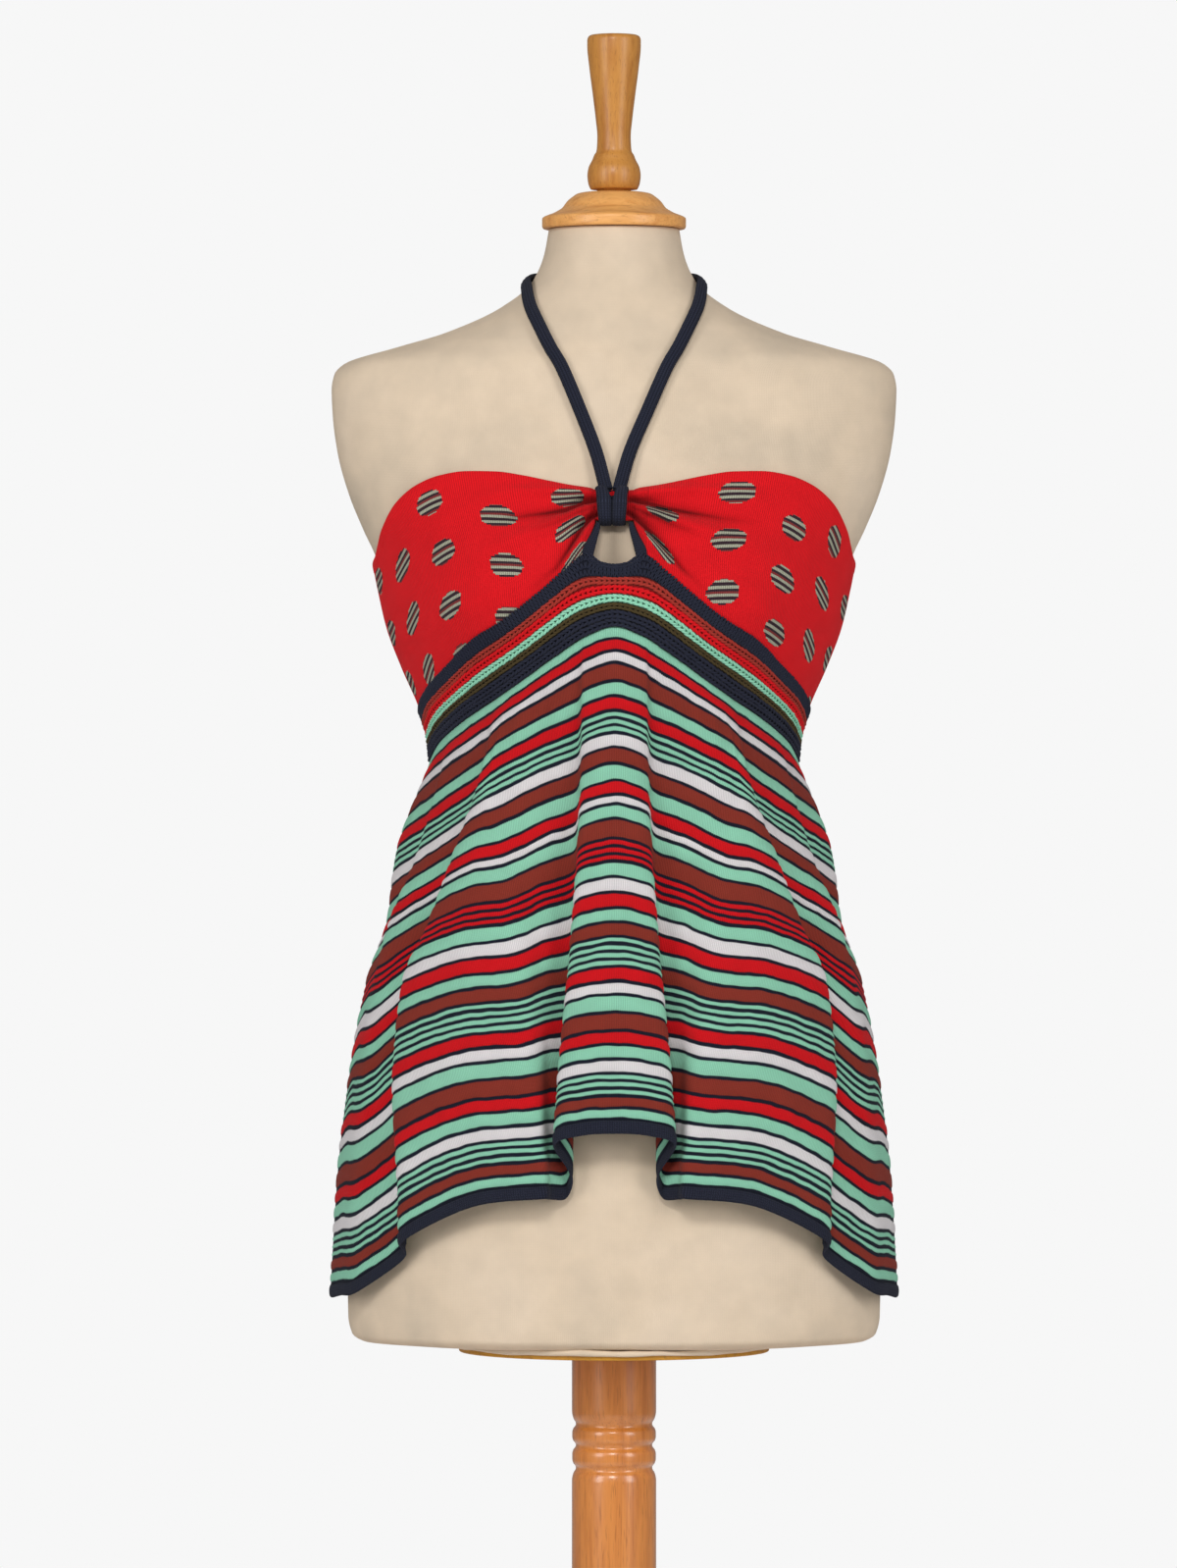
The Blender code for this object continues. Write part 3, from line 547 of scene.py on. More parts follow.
def bandGroundInShade(tree, across, down):
    # painted shade: the ground under the stitches takes each course's colour darkened to 0.45, so the gaps
    # between stitches read as shaded
    stops, done = [], 0.0
    for name, wide, _, _ in courses:
        stops.append((done / bandWide, [0.45 * c for c in yarnColour(name)[:3]] + [1.0]))
        done += wide
    return rampOf(tree, maths(tree, "DIVIDE", down, bandWide), stops, "CONSTANT"), None


def navyKnit(tree, across, down):
    colour = addNode(tree, "ShaderNodeRGB")
    colour.outputs[0].default_value = yarnColour("navy")
    return colour.outputs[0], None


bandedYarn = yarnFinish("bandedCrochetYarn")
bandKnit = knittedFinish("bandGroundKnit", bandGroundInShade, wale=0.0018, course=0.0015, deep=0.0004)
navyJersey = knittedFinish("navyCottonKnit", navyKnit, wale=0.0016, course=0.0016, deep=0.0012,
                           stitchShadeRange=(0.4, 1.6))


def creamColour(tree, across, down):
    patch = noiseAt(tree, objectPlace(tree), scale=9.0, detail=4.0)
    stops = ((0.30, "CDBCA6"), (0.48, "DDC9B0"), (0.72, "E2CFB8"))
    return rampOf(tree, patch, [(place, linear(colour)) for place, colour in stops]), None


creamJersey = knittedFinish("creamCottonJersey", creamColour, wale=0.0011, course=0.0011, deep=0.0001,
                            stitchShadeRange=(0.95, 1.01))


def scaled(tree, place, factors):
    return addNode(tree, "ShaderNodeMapping", {"Vector": place, "Scale": factors}).outputs[0]


def beechFinish(name, light, dark, fleck, grain, roughness=0.45, coat=0.15):
    # beech under amber varnish: warm, short dark flecks along the grain, a soft gloss
    finish, tree, shader = newFinish(name, roughness, coat=coat)
    place = objectPlace(tree)
    stretched, short = (scaled(tree, place, [fine * value for value in grain]) for fine in (1, 9))
    wide = noiseAt(tree, stretched, scale=1.0, detail=5.0, Roughness=0.6, Distortion=0.4)
    ground = rampOf(tree, wide, [(0.30, linear(dark)), (0.52, linear(light)), (0.75, linear(dark))])
    flecks = noiseAt(tree, short, scale=1.0, detail=1.0)
    mask = rampOf(tree, flecks, [(0.60, (0, 0, 0, 1)), (0.70, (0.42, 0.42, 0.42, 1))])
    setSurface(tree, shader, mixOf(tree, mask, ground, linear(fleck)), wide, strength=0.15, distance=0.0002)
    return finish


amberBeech = beechFinish("amberVarnishedBeech", "CA8A3C", "B27028", "86501C", (150.0, 150.0, 9.0))
flatBeech = beechFinish("amberBeechCrossGrain", "F0AE62", "D68E46", "9A6430", (9.0, 150.0, 150.0))
poleBeech = beechFinish("redVarnishedBeech", "DA8A40", "BE6E2C", "8E4F1E", (130.0, 130.0, 7.0), 0.34, 0.9)
ochrePly = beechFinish("ochrePaintedBoard", "C98E22", "B87D18", "8A5E14", (40.0, 40.0, 40.0), 0.6)
print("finishes made")

formMesh = {"steps": 180, "uvRadius": 0.15,
            "rows": ((0.55, 0.57, 14), (0.57, 1.21, 120), (1.21, 1.3225, 60))}  # from, to, rings
heights = np.unique(np.concatenate([np.linspace(*row) for row in formMesh["rows"]]))
turns = turnsOf(formMesh["steps"])
rings = formPoint(np.degrees(turns), heights[:, None])
points = withEnds(rings, [0, 0, heights[0]], [0, 0, heights[-1]])
uv = withEnds(placesOf(turns * formMesh["uvRadius"], heights[:, None]), [0, heights[0]], [0, heights[-1]])
formTorso = addPiece("formTorso", points, ringFaces(len(heights), len(turns)), uv, creamJersey,
                     (2 * math.pi * formMesh["uvRadius"], 0))
wear(formTorso, "form_torso")

rolledEdge = {"radius": 0.1092, "height": 0.5506, "thick": 0.0021, "uneven": 0.0028, "around": 12,
              "waves": (5, 9, 14, 23, 37), "seed": 431, "uvRadius": 0.002, "uvAround": 0.0126}
edgeRandom = np.random.default_rng(rolledEdge["seed"])
waves = sum(edgeRandom.normal() / k * np.sin(k * turns + edgeRandom.uniform(0, 6))
            for k in rolledEdge["waves"])
spin = turnsOf(rolledEdge["around"])
thick = rolledEdge["thick"] + rolledEdge["uneven"] * waves
ring = rolledEdge["radius"] + thick[:, None] * np.cos(spin)
lift = rolledEdge["height"] + rolledEdge["uneven"] * waves[::-1, None] + thick[:, None] * np.sin(spin)
uv = placesOf(turns[:, None] * rolledEdge["radius"], spin * rolledEdge["uvRadius"])
jerseyEdge = addPiece("jerseyEdge", ringsOf(ring, lift, turns[:, None]),
                      ringFaces(len(turns), len(spin), closed=True, flipped=True), uv, creamJersey,
                      (2 * math.pi * rolledEdge["radius"], rolledEdge["uvAround"]))
wear(jerseyEdge, None)

# radius and height in mm, from the top down
finialProfile = metres((
    (0, 1457.8), (9, 1457.7), (16, 1457.2), (18, 1455.8), (18.6, 1453.5), (18.6, 1450), (17.2, 1435),
    (14.8, 1416.3), (12.6, 1398), (11.6, 1387), (12, 1378.2), (12.6, 1375.8), (13.6, 1374.5),
    (15, 1371), (17.8, 1365), (18.5, 1360), (18, 1355), (16.6, 1351), (16, 1350.3), (11.8, 1349.9),
    (11.6, 1348.7), (0, 1348.7),
))
capProfile = metres((
    (0, 1348.4), (20, 1348.2), (25, 1347.4), (29, 1345), (32.5, 1342), (35.2, 1338.4), (36.2, 1337.2),
    (36.8, 1336.8), (42, 1333.8), (48.6, 1331.2), (49.7, 1330.4), (49.9, 1329.4), (49.9, 1324.6),
    (49.6, 1323.6), (49, 1323), (0, 1323),
))
boardProfile = metres((
    (0, 549.7), (107, 549.7), (107.5, 549.2), (107.5, 546.2), (107, 545.7), (0, 545.7),
))
pole = {"radius": 0.0292, "waist": 0.0265, "top": 0.5454, "bottom": 0.0263, "beads": (0.495, 0.4803, 0.4647)}
rim, top, waist = pole["radius"], pole["top"], pole["waist"]
poleProfile = [(0, top), (rim - 0.001, top), (rim, top - 0.001), (rim, 0.504), (rim - 0.0005, 0.5005),
               (rim - 0.0014, 0.498)]
for k, groove in enumerate(pole["beads"]):
    poleProfile += [(waist, groove + 0.0007), (waist, groove - 0.0007)]
    if k < len(pole["beads"]) - 1:
        below = pole["beads"][k + 1]
        bead = (groove + below) / 2
        poleProfile += [(rim - 0.001, groove - 0.003), (rim - 0.0002, bead + 0.0018),
                        (rim - 0.0002, bead - 0.0018), (rim - 0.001, below + 0.003)]
poleProfile += [(rim - 0.0014, 0.4618), (rim - 0.0005, 0.4594), (rim, 0.456), (rim, pole["bottom"]),
                (0, pole["bottom"])]
footProfile = metres((
    (0, 26), (29.5, 26), (29.5, 42), (42, 42), (45, 41.2), (47.4, 38.8), (48, 36), (48.2, 28.5),
    (49.2, 26.8), (51.5, 26), (193, 26), (196.5, 25.4), (199.2, 23.2), (200, 20), (200, 1.2), (199, 0),
    (0, 0),
))
turnedPieces = (
    ("neckFinial", "neck_finial", finialProfile, amberBeech),
    ("neckCap", "neck_cap", capProfile, flatBeech),
    ("formUnderboard", "form_underboard", boardProfile, ochrePly),
    ("standPole", "stand_pole", poleProfile, poleBeech),
    ("standFoot", "stand_foot", footProfile, flatBeech),
)
for name, node, profile, finish in turnedPieces:
    wear(turnedPiece(name, profile, finish), node)
print("form and stand made")

redJersey = {
    "thick": 0.0016, "hemDown": 0.007, "hemThick": 0.0003, "hemEase": 0.0006, "neckEase": 0.002,
    "folds": 3.0, "deep": 0.0009, "fades": 34.0,  # soft folds, and the degrees over which they fade
    "lowest": 1.1158,  # where the panel ends behind the loop
    "keyholeMiddle": 1.099,
    "edgeRows": (0, 0.006, 0.02, 0.045), "seamRows": (0.988, 1.0),
    "leastOut": -0.0012, "fullShadeDepth": 0.0050,  # how far cloth may sink, and how deep a groove is where its painted shade is full
    "sharp": 1.1, "creaseEase": 1.6,  # power of the grooves, and how soon creases rise from the panel's edges
    "backRow": 20,  # row of the back's grid along which its spots are measured
    "overhang": 0.2,  # how far a roll hangs down for each metre that it stands out
    "squash": (1.7, 9.0),  # how much more cloth the gathered middle holds, and over how many degrees
    "rolls": (
        # half width, then across, height and out, in mm, along each soft roll that leaves the loop
        (5.4, ((-12, 1134, 3), (-25, 1137, 5.6), (-44, 1138, 4.4), (-70, 1137, 2.2), (-104, 1130, 0))),
        (6.4, ((-12, 1126, 4.6), (-24, 1121, 6.8), (-40, 1114, 6), (-64, 1105, 3.4), (-100, 1092, 0))),
        (4.8, ((-12, 1116, 4), (-20, 1108, 5.8), (-29, 1097, 4.8), (-40, 1084, 2.6), (-56, 1070, 0))),
        (5.4, ((12, 1134, 3), (28, 1137, 5.4), (50, 1139, 4.4), (78, 1138, 2.2), (112, 1130, 0))),
        (6.6, ((12, 1126, 4.6), (28, 1120, 7), (46, 1114, 6.2), (72, 1107, 3.6), (108, 1094, 0))),
        (4.8, ((11, 1115, 4), (19, 1107, 5.8), (30, 1096, 4.8), (44, 1082, 2.6), (62, 1068, 0))),
        (9, ((-126, 1046, 0), (-104, 1060, 2.2), (-84, 1068, 0))),
        (9, ((120, 1040, 0), (100, 1056, 2.2), (80, 1066, 0))),
        (6, ((-156, 1040, 0), (-148, 1052, -2), (-134, 1062, 0))),
        (5, ((-150, 1018, 0), (-141, 1030, -1.8), (-126, 1040, 0))),
        (6, ((152, 1024, 0), (142, 1038, -2), (128, 1048, 0))),
        (9, ((-50, 1100, 0), (-80, 1082, -2.2), (-116, 1068, 0))),
        (9, ((58, 1100, 0), (88, 1084, -2.2), (124, 1072, 0))),
    ),
    "grooves": (
        # the same along each sharp groove between the rolls
        (2.2, ((-11, 1130.3, -7), (-21, 1130, -8.5), (-33, 1125, -8), (-46, 1122.5, -6), (-66, 1120, -3.2),
               (-92, 1117, 0))),
        (2.2, ((-10, 1121.5, -7), (-17, 1117.7, -8.5), (-22.5, 1112, -8), (-25.5, 1106, -7),
               (-31, 1097, -5.4), (-40, 1084, -3.6), (-60, 1066, 0))),
        (2.2, ((10, 1130.7, -7), (22, 1129.6, -8.5), (36, 1125.5, -8), (52, 1122.5, -6), (74, 1119.5, -3.2),
               (102, 1116, 0))),
        (2.2, ((9, 1122.4, -7), (13, 1119.4, -8.5), (19.5, 1113.7, -8), (27, 1107, -7), (35, 1098, -5.4),
               (45, 1085, -3.6), (66, 1066, 0))),
        (2.6, ((10, 1126, -2), (22, 1120, -4.4), (38, 1113, -3), (58, 1105, 0))),
        (2.6, ((-11, 1126, -1.4), (-24, 1121, -3), (-40, 1114, -2), (-58, 1108, 0))),
    ),
}


def panelBottom(angle):
    # under the loop, down the keyhole's sides, then along the band
    across = np.abs(formPoint(angle, redJersey["keyholeMiddle"], True)[..., 0])
    cut = curveOf([(row[2], row[0]) for row in reversed(keyhole[1:])])(across)
    low = bandTopAt(fromMiddle(angle)) - seamLap
    beside = np.where(across < keyhole[1][2], cut, low)
    return np.where(across <= keyhole[-1][2], redJersey["lowest"], beside)


def panelRows(*middleRows):
    # shares of a panel's height, closer together at its turned edge and at its seam
    return np.concatenate([redJersey["edgeRows"], np.linspace(*middleRows), redJersey["seamRows"]])


def panelGrid(angles, share, lows):
    tops = necklineAt(fromMiddle(angles))
    return onForm(angles[:, None], tops[:, None] + (lows - tops)[:, None] * share, clothMiddle)


def turnedEdge(grid):
    # how far the neckline's turned edge stands out
    down = lengthsAlong(grid, 1)
    inside = np.clip((redJersey["hemDown"] - down) / redJersey["hemEase"], 0, 1)
    return redJersey["hemThick"] * inside * np.clip(down / redJersey["neckEase"], 0, 1)


halfColumns = ((0, 3.8, 9), (4.0, 7.2, 18), (7.5, 28, 74), (28.6, sideAngle, 74))
half = np.concatenate([np.linspace(*row) for row in halfColumns])
angles = np.concatenate([-half[:0:-1], half])
share = panelRows(0.06, 0.975, 104)
middle = panelGrid(angles, share, panelBottom(angles))
outward = outwardOf(middle)
edge = np.sqrt(np.sin(np.pi * share))
wave = 0.5 - 0.5 * np.cos(2 * np.pi * redJersey["folds"] * share)
relief = redJersey["deep"] * edge * wave * np.exp(-((angles[:, None] / redJersey["fades"]) ** 2))
grooves = creaseRelief(middle, redJersey["grooves"], redJersey["sharp"])
creases = (creaseRelief(middle, redJersey["rolls"]) + grooves) * np.clip(edge * redJersey["creaseEase"], 0, 1)
relief = np.maximum(relief + creases, redJersey["leastOut"])
hanging = unit(np.gradient(middle, axis=1)) * (redJersey["overhang"] * np.maximum(relief, 0))[..., None]
more, degrees = redJersey["squash"]
uv = clothPlaces(middle, len(share) // 2)
uv[..., 0] -= uv[len(uv) // 2, 0, 0]
uv[..., 1] *= 1 + more * np.exp(-((angles[:, None] / degrees) ** 2))
bustFront = clothWall("bustFront", middle + hanging, outward, redJersey["thick"], spottedJersey, uv,
                      relief + turnedEdge(middle))
# painted shade: the grooves' depth sets how much darker their colour is painted
paintCreaseShade(bustFront, np.clip(-grooves / redJersey["fullShadeDepth"], 0, 1))
wear(bustFront, "bust_front")

backCreases = (
    (6, ((-120, 1030, 0), (-100, 1042, 1.3), (-80, 1050, 0))),
    (6, ((40, 1012, 0), (62, 1022, 1.2), (88, 1026, 0))),
    (5, ((-30, 1070, 0), (-8, 1066, 0.9), (18, 1070, 0))),
    (6, ((104, 1062, 0), (122, 1050, 1.2), (136, 1034, 0))),
)
angles = np.linspace(180 - sideAngle, 180 + sideAngle, 150)
middle = panelGrid(angles, panelRows(0.075, 0.97, 36), bandTopAt(fromMiddle(angles)) - seamLap)
relief = creaseRelief(middle, backCreases) + turnedEdge(middle)
bustBack = clothWall("bustBack", middle, outwardOf(middle), redJersey["thick"], spottedJersey,
                     clothPlaces(middle, redJersey["backRow"]), relief)
wear(bustBack, "bust_back")
print("bust made")


def stitchTree():
    # two strands of yarn for each point, laid along it and standing outwards
    tree = bpy.data.node_groups.new("yarnStitches", "GeometryNodeTree")
    kinds = {"Points": "Geometry", "Length": "Float", "Spread": "Float", "Close": "Float", "Rise": "Float",
             "Yarn": "Float", "Finish": "Material"}
    for name, kind in kinds.items():
        tree.interface.new_socket(name=name, in_out="INPUT", socket_type="NodeSocket" + kind)
    tree.interface.new_socket(name="Stitches", in_out="OUTPUT", socket_type="NodeSocketGeometry")
    given = addNode(tree, "NodeGroupInput").outputs
    halfLong = maths(tree, "MULTIPLY", given["Length"], 0.5)
    back = maths(tree, "MULTIPLY", halfLong, -1.0)
    circle = {"Resolution": 5, "Radius": given["Yarn"]}
    profile = addNode(tree, "GeometryNodeCurvePrimitiveCircle", circle).outputs[0]
    both = addNode(tree, "GeometryNodeJoinGeometry")
    for side in (1.0, -1.0):
        wide = maths(tree, "MULTIPLY", given["Spread"], side)
        close = maths(tree, "MULTIPLY", given["Close"], side)
        bend = {"Resolution": 4, "Start": vectorOf(tree, back, wide),
                "Middle": vectorOf(tree, 0.0, wide, given["Rise"]), "End": vectorOf(tree, halfLong, close)}
        strand = addNode(tree, "GeometryNodeCurveQuadraticBezier", bend).outputs[0]
        swept = {"Curve": strand, "Profile Curve": profile, "Fill Caps": True}
        tree.links.new(addNode(tree, "GeometryNodeCurveToMesh", swept).outputs[0], both.inputs[0])
    named = {}
    for name in ("along", "outward", "size"):
        node = addNode(tree, "GeometryNodeInputNamedAttribute", {"Name": name}, data_type="FLOAT_VECTOR")
        named[name] = node.outputs["Attribute"]
    turned = addNode(tree, "FunctionNodeAlignRotationToVector", {"Vector": named["along"]}, axis="X")
    turned = addNode(tree, "FunctionNodeAlignRotationToVector",
                     {"Rotation": turned.outputs[0], "Vector": named["outward"]}, axis="Z", pivot_axis="X")
    placed = addNode(tree, "GeometryNodeInstanceOnPoints", {
        "Points": given["Points"], "Instance": both.outputs[0], "Rotation": turned.outputs[0],
        "Scale": named["size"]}).outputs[0]
    real = addNode(tree, "GeometryNodeRealizeInstances", {0: placed}).outputs[0]
    smooth = addNode(tree, "GeometryNodeSetShadeSmooth", {"Geometry": real}).outputs[0]
    done = addNode(tree, "GeometryNodeSetMaterial", {"Geometry": smooth, "Material": given["Finish"]})
    addNode(tree, "NodeGroupOutput", {0: done.outputs[0]})
    return tree


yarnStitches = stitchTree()


def stitchesAt(name, places, along, outward, size, course, sizes, finish):
    # a plain mesh of stitches at those places; sizes are the tree's inputs in metres
    mesh = bpy.data.meshes.new(name)
    mesh.from_pydata(places.tolist(), [], [])
    for label, values in (("along", along), ("outward", outward), ("size", size)):
        layer = mesh.attributes.new(label, "FLOAT_VECTOR", "POINT")
        layer.data.foreach_set("vector", values.astype(np.float32).ravel())
    mesh.attributes.new("course", "FLOAT", "POINT").data.foreach_set("value", course.astype(np.float32))
    source = bpy.data.objects.new(name + "Points", mesh)
    bpy.context.scene.collection.objects.link(source)
    modifier = source.modifiers.new("stitches", "NODES")
    modifier.node_group = yarnStitches
    given = {**sizes, "Finish": finish}
    for item in yarnStitches.interface.items_tree:
        if item.in_out == "INPUT" and item.name in given:
            modifier[item.identifier] = given[item.name]
    evaluated = source.evaluated_get(bpy.context.evaluated_depsgraph_get())
    result = bpy.data.meshes.new_from_object(evaluated)
    bpy.data.objects.remove(source)
    result.name = name
    piece = bpy.data.objects.new(name, result)
    bpy.context.scene.collection.objects.link(piece)
    return piece


def merged(name, pieces):
    # joins pieces of one finish into one mesh
    first = pieces[0]
    with bpy.context.temp_override(active_object=first, selected_editable_objects=pieces, object=first):
        bpy.ops.object.join()
    first.name = name
    first.data.name = name
    return first


def evenly(curve, pitch):
    # indices into a fine curve, set pitch apart along it
    along = lengthsAlong(curve, 0)
    count = max(2, round(along[-1] / pitch))
    wanted = (np.arange(count) + 0.5) * along[-1] / count
    return np.searchsorted(along, wanted)


stitchSizes = {
    # what the tree is given for each kind of stitch, in metres, then their pitch and how tall one is
    "post": {"Length": 0.0042, "Spread": 0.00105, "Close": 0.0004, "Rise": 0.0016, "Yarn": 0.00066,
             "pitch": 0.0027, "tall": 0.0032},
    "chain": {"Length": 0.0054, "Spread": 0.0020, "Close": 0.00035, "Rise": 0.0019, "Yarn": 0.00098,
              "pitch": 0.0036, "tall": 0.0056},
}
rowPlaces = {1: (0.5,), 2: (0.26, 0.74), 3: (0.16, 0.46, 0.78)}  # shares of a course's width, by its rows
bandBase = {"thick": 0.0018, "out": 0.0006, "columns": 240, "rows": 26, "uneven": 0.06, "fine": 4000,
            "soft": (2.6, 6), "softer": (5.0, 2.2)}  # degrees that round a course's corners, and how soon
keyholeEdge = {"degrees": 6.4, "fine": 1200, "out": 0.0014, "pitch": 0.0026, "size": (0.72, 0.62, 0.8),
               "uneven": 0.05}
stitchRandom = np.random.default_rng(9169)


def softened(edgeAt, degrees):
    # an edge whose corners are rounded over that many degrees
    fine = np.arange(-40, 220, 0.1)
    kernel = np.exp(-0.5 * (np.arange(-3 * degrees, 3 * degrees + 0.05, 0.1) / degrees) ** 2)
    heights = np.convolve(edgeAt(np.abs(fine)), kernel / kernel.sum(), mode="same")
    return lambda angle: np.interp(fromMiddle(angle), fine, heights)


softTopAt, softerTopAt = (softened(bandTopAt, bandBase[name][0]) for name in ("soft", "softer"))


def bandHeight(angle, share):
    # the courses follow the band's upper edge less and less closely on their way down
    first, later = (np.clip(share * bandBase[name][1], 0, 1) for name in ("soft", "softer"))
    top = bandTopAt(fromMiddle(angle)) * (1 - first) + softTopAt(angle) * first
    top = top * (1 - later) + softerTopAt(angle) * later
    return top + (bandBottomAt(fromMiddle(angle)) - top) * share


def wobbled(size, count, uneven):
    return size * (1 + uneven * stitchRandom.standard_normal((count, 3)))


def stitchRow(angle, height, off, pitch):
    # places along a line on the band, with the directions along it, outwards and across it
    curve = onForm(angle, height, off)
    at = evenly(curve, pitch)
    tangent, facing = unit(np.gradient(curve, axis=0))[at], formOutward(angle[at], height[at])
    return curve[at], tangent, facing, unit(np.cross(tangent, facing))


for side, start, end in (("Front", -sideAngle, sideAngle), ("Back", 180 - sideAngle, 180 + sideAngle)):
    angles = np.linspace(start, end, bandBase["columns"])
    share = np.linspace(0, 1, bandBase["rows"])
    off = clothMiddle + bandBase["out"]
    middle = onForm(angles[:, None], bandHeight(angles[:, None], share[None, :]), off)
    uv = clothPlaces(middle, bandBase["rows"] // 2)
    uv[..., 1] = share * bandWide
    band = clothWall("underbustBand" + side, middle, outwardOf(middle), bandBase["thick"], bandKnit, uv)
    wear(band, "underbust_band_" + side.lower())

    fine = np.linspace(start, end, bandBase["fine"])
    kinds = {"post": [], "chain": []}
    done = 0.0
    for k, (_, wide, kind, rows) in enumerate(courses):
        sizes = stitchSizes[kind]
        for place in rowPlaces[rows]:
            height = bandHeight(fine, (done + wide * place) / bandWide)
            outside = off + bandBase["thick"] / 2
            places, along, facing, across = stitchRow(fine, height, outside, sizes["pitch"])
            tall = wide / rows / sizes["tall"]
            if kind == "post":
                along, size = across, [tall, 1.0, 1.0]
            else:
                along, size = along * (1 if k % 2 else -1), [1.0, tall, 1.0]
            size = wobbled(np.array(size), len(places), bandBase["uneven"])
            kinds[kind].append((places, along, facing, size, k))
        done += wide
    if side == "Front":
        fine = np.linspace(-keyholeEdge["degrees"], keyholeEdge["degrees"], keyholeEdge["fine"])
        row = stitchRow(fine, bandHeight(fine, 0.0), off + keyholeEdge["out"], keyholeEdge["pitch"])
        size = wobbled(np.array(keyholeEdge["size"]), len(row[0]), keyholeEdge["uneven"])
        kinds["chain"].append((*row[:3], size, 0))
    parts = []
    for kind, rowsOfPoints in kinds.items():
        places, along, facing, size = (np.concatenate([row[i] for row in rowsOfPoints]) for i in range(4))
        course = np.concatenate([np.full(len(row[0]), (row[4] + 0.5) / len(courses)) for row in rowsOfPoints])
        parts.append(stitchesAt("bandStitches" + side + kind, places, along, facing, size, course,
                                stitchSizes[kind], bandedYarn))
    bandStitches = merged("bandStitches" + side, parts)
    wear(bandStitches, None)
print("band made")

levels = (0.944, 0.888, 0.845, 0.802, 0.734, 0.666)
frontFolds = (
    # angle at the band, height of the hem, then (across, forward) in mm at each level
    (0, 0.702, (0, 128), (0, 132), (0, 134.5), (0, 139), (0, 148), (0, 156)),
    (4.5, 0.7005, (12, 128), (14, 131.5), (15.5, 134.5), (18, 139), (22, 148), (24, 155)),
    (7.5, 0.6935, (21, 123.5), (24, 126), (27.5, 128.5), (31.5, 131.5), (38, 139), (42, 147)),
    (8.3, 0.672, (23, 117), (24.5, 117), (25.5, 118.5), (26.5, 121), (28.5, 126), (29.3, 130)),
    (9.5, 0.657, (28, 113), (29, 111), (29.8, 112), (30.2, 114), (31.4, 118), (32.6, 121.5)),
    (16, 0.6565, (50, 108), (48, 108), (47.5, 112.5), (47, 118), (45, 124), (44, 128.5)),
    (29, 0.657, (80, 102), (74.5, 112), (71.5, 119), (68, 127), (60, 134), (52, 138.5)),
    (32, 0.651, (86, 100), (95, 107), (102, 109.5), (108, 112), (106, 119), (98, 123)),
    (34.5, 0.627, (90.5, 96), (109.5, 95), (125, 90.5), (143, 85), (149, 89), (145, 97)),
    (37, 0.614, (92.5, 87), (110, 81), (124, 76.5), (140, 71), (146, 74), (144.5, 83)),
    (59, 0.59, (117.5, 60), (134, 56), (151.5, 55), (161, 54), (170, 56), (174, 60)),
    (63, 0.586, (120, 50), (135, 42), (150, 40), (166, 35), (179, 33), (185, 35)),
    (78, 0.5835, (127.5, 20), (148.5, 20), (155, 18), (169.5, 16), (182, 15), (189.5, 16)),
    (sideAngle, 0.5826, (128.5, 0.5), (150.5, 0.5), (156, 0.5), (170.5, 0.5), (183, 0.5), (191, 0.5)),
)
backFolds = (
    (180 - sideAngle, 0.5826, (128.5, 0.5), (150.5, 0.5), (156, 0.5), (170.5, 0.5), (183, 0.5), (191, 0.5)),
    (102, 0.5835, (126, 23), (146, 26), (152, 27), (167, 28), (180, 30), (188, 31)),
    (116, 0.59, (115, 48), (129, 56), (137, 61), (147, 67), (159, 77), (164, 83)),
    (128, 0.605, (102, 70), (119, 84), (127.5, 91), (137, 100), (148, 109), (150, 114)),
    (141, 0.624, (79, 81), (90, 96), (94.5, 106), (100, 117), (104, 128), (106, 130)),
    (152, 0.639, (60, 96), (68, 115), (72, 126.5), (76, 139), (80, 153), (81, 157)),
    (166, 0.648, (30, 95), (33, 110), (34.5, 119), (36, 129), (37, 139), (37, 141)),
    (180, 0.651, (0, 102), (0, 120), (0, 131), (0, 143), (0, 156), (0, 159)),
)
hemTrim = {"wide": 0.0078, "wideOnCrest": 0.0080, "crestAbove": 0.68, "thick": 0.0019, "out": 0.0009,
           "seam": 0.0004, "lap": 0.14, "rows": 10, "bulgeFrom": 0.12}
skirtCloth = {
    "thick": 0.0016,
    "below": 0.02,  # folds start this far below the band, and creases reach their full height
    "eased": 0.5,  # share of a fold's last slant that it keeps below the lowest level
    "lower": 0.1,  # how far below that level its line goes
    "settles": 0.3,  # share of the skirt's height in which the folds leave the band
    # columns between each two folds
    "frontSteps": (8, 8, 8, 8, 8, 12, 8, 12, 8, 12, 8, 8, 8),
    "backSteps": (12, 12, 12, 12, 12, 18, 18),
}
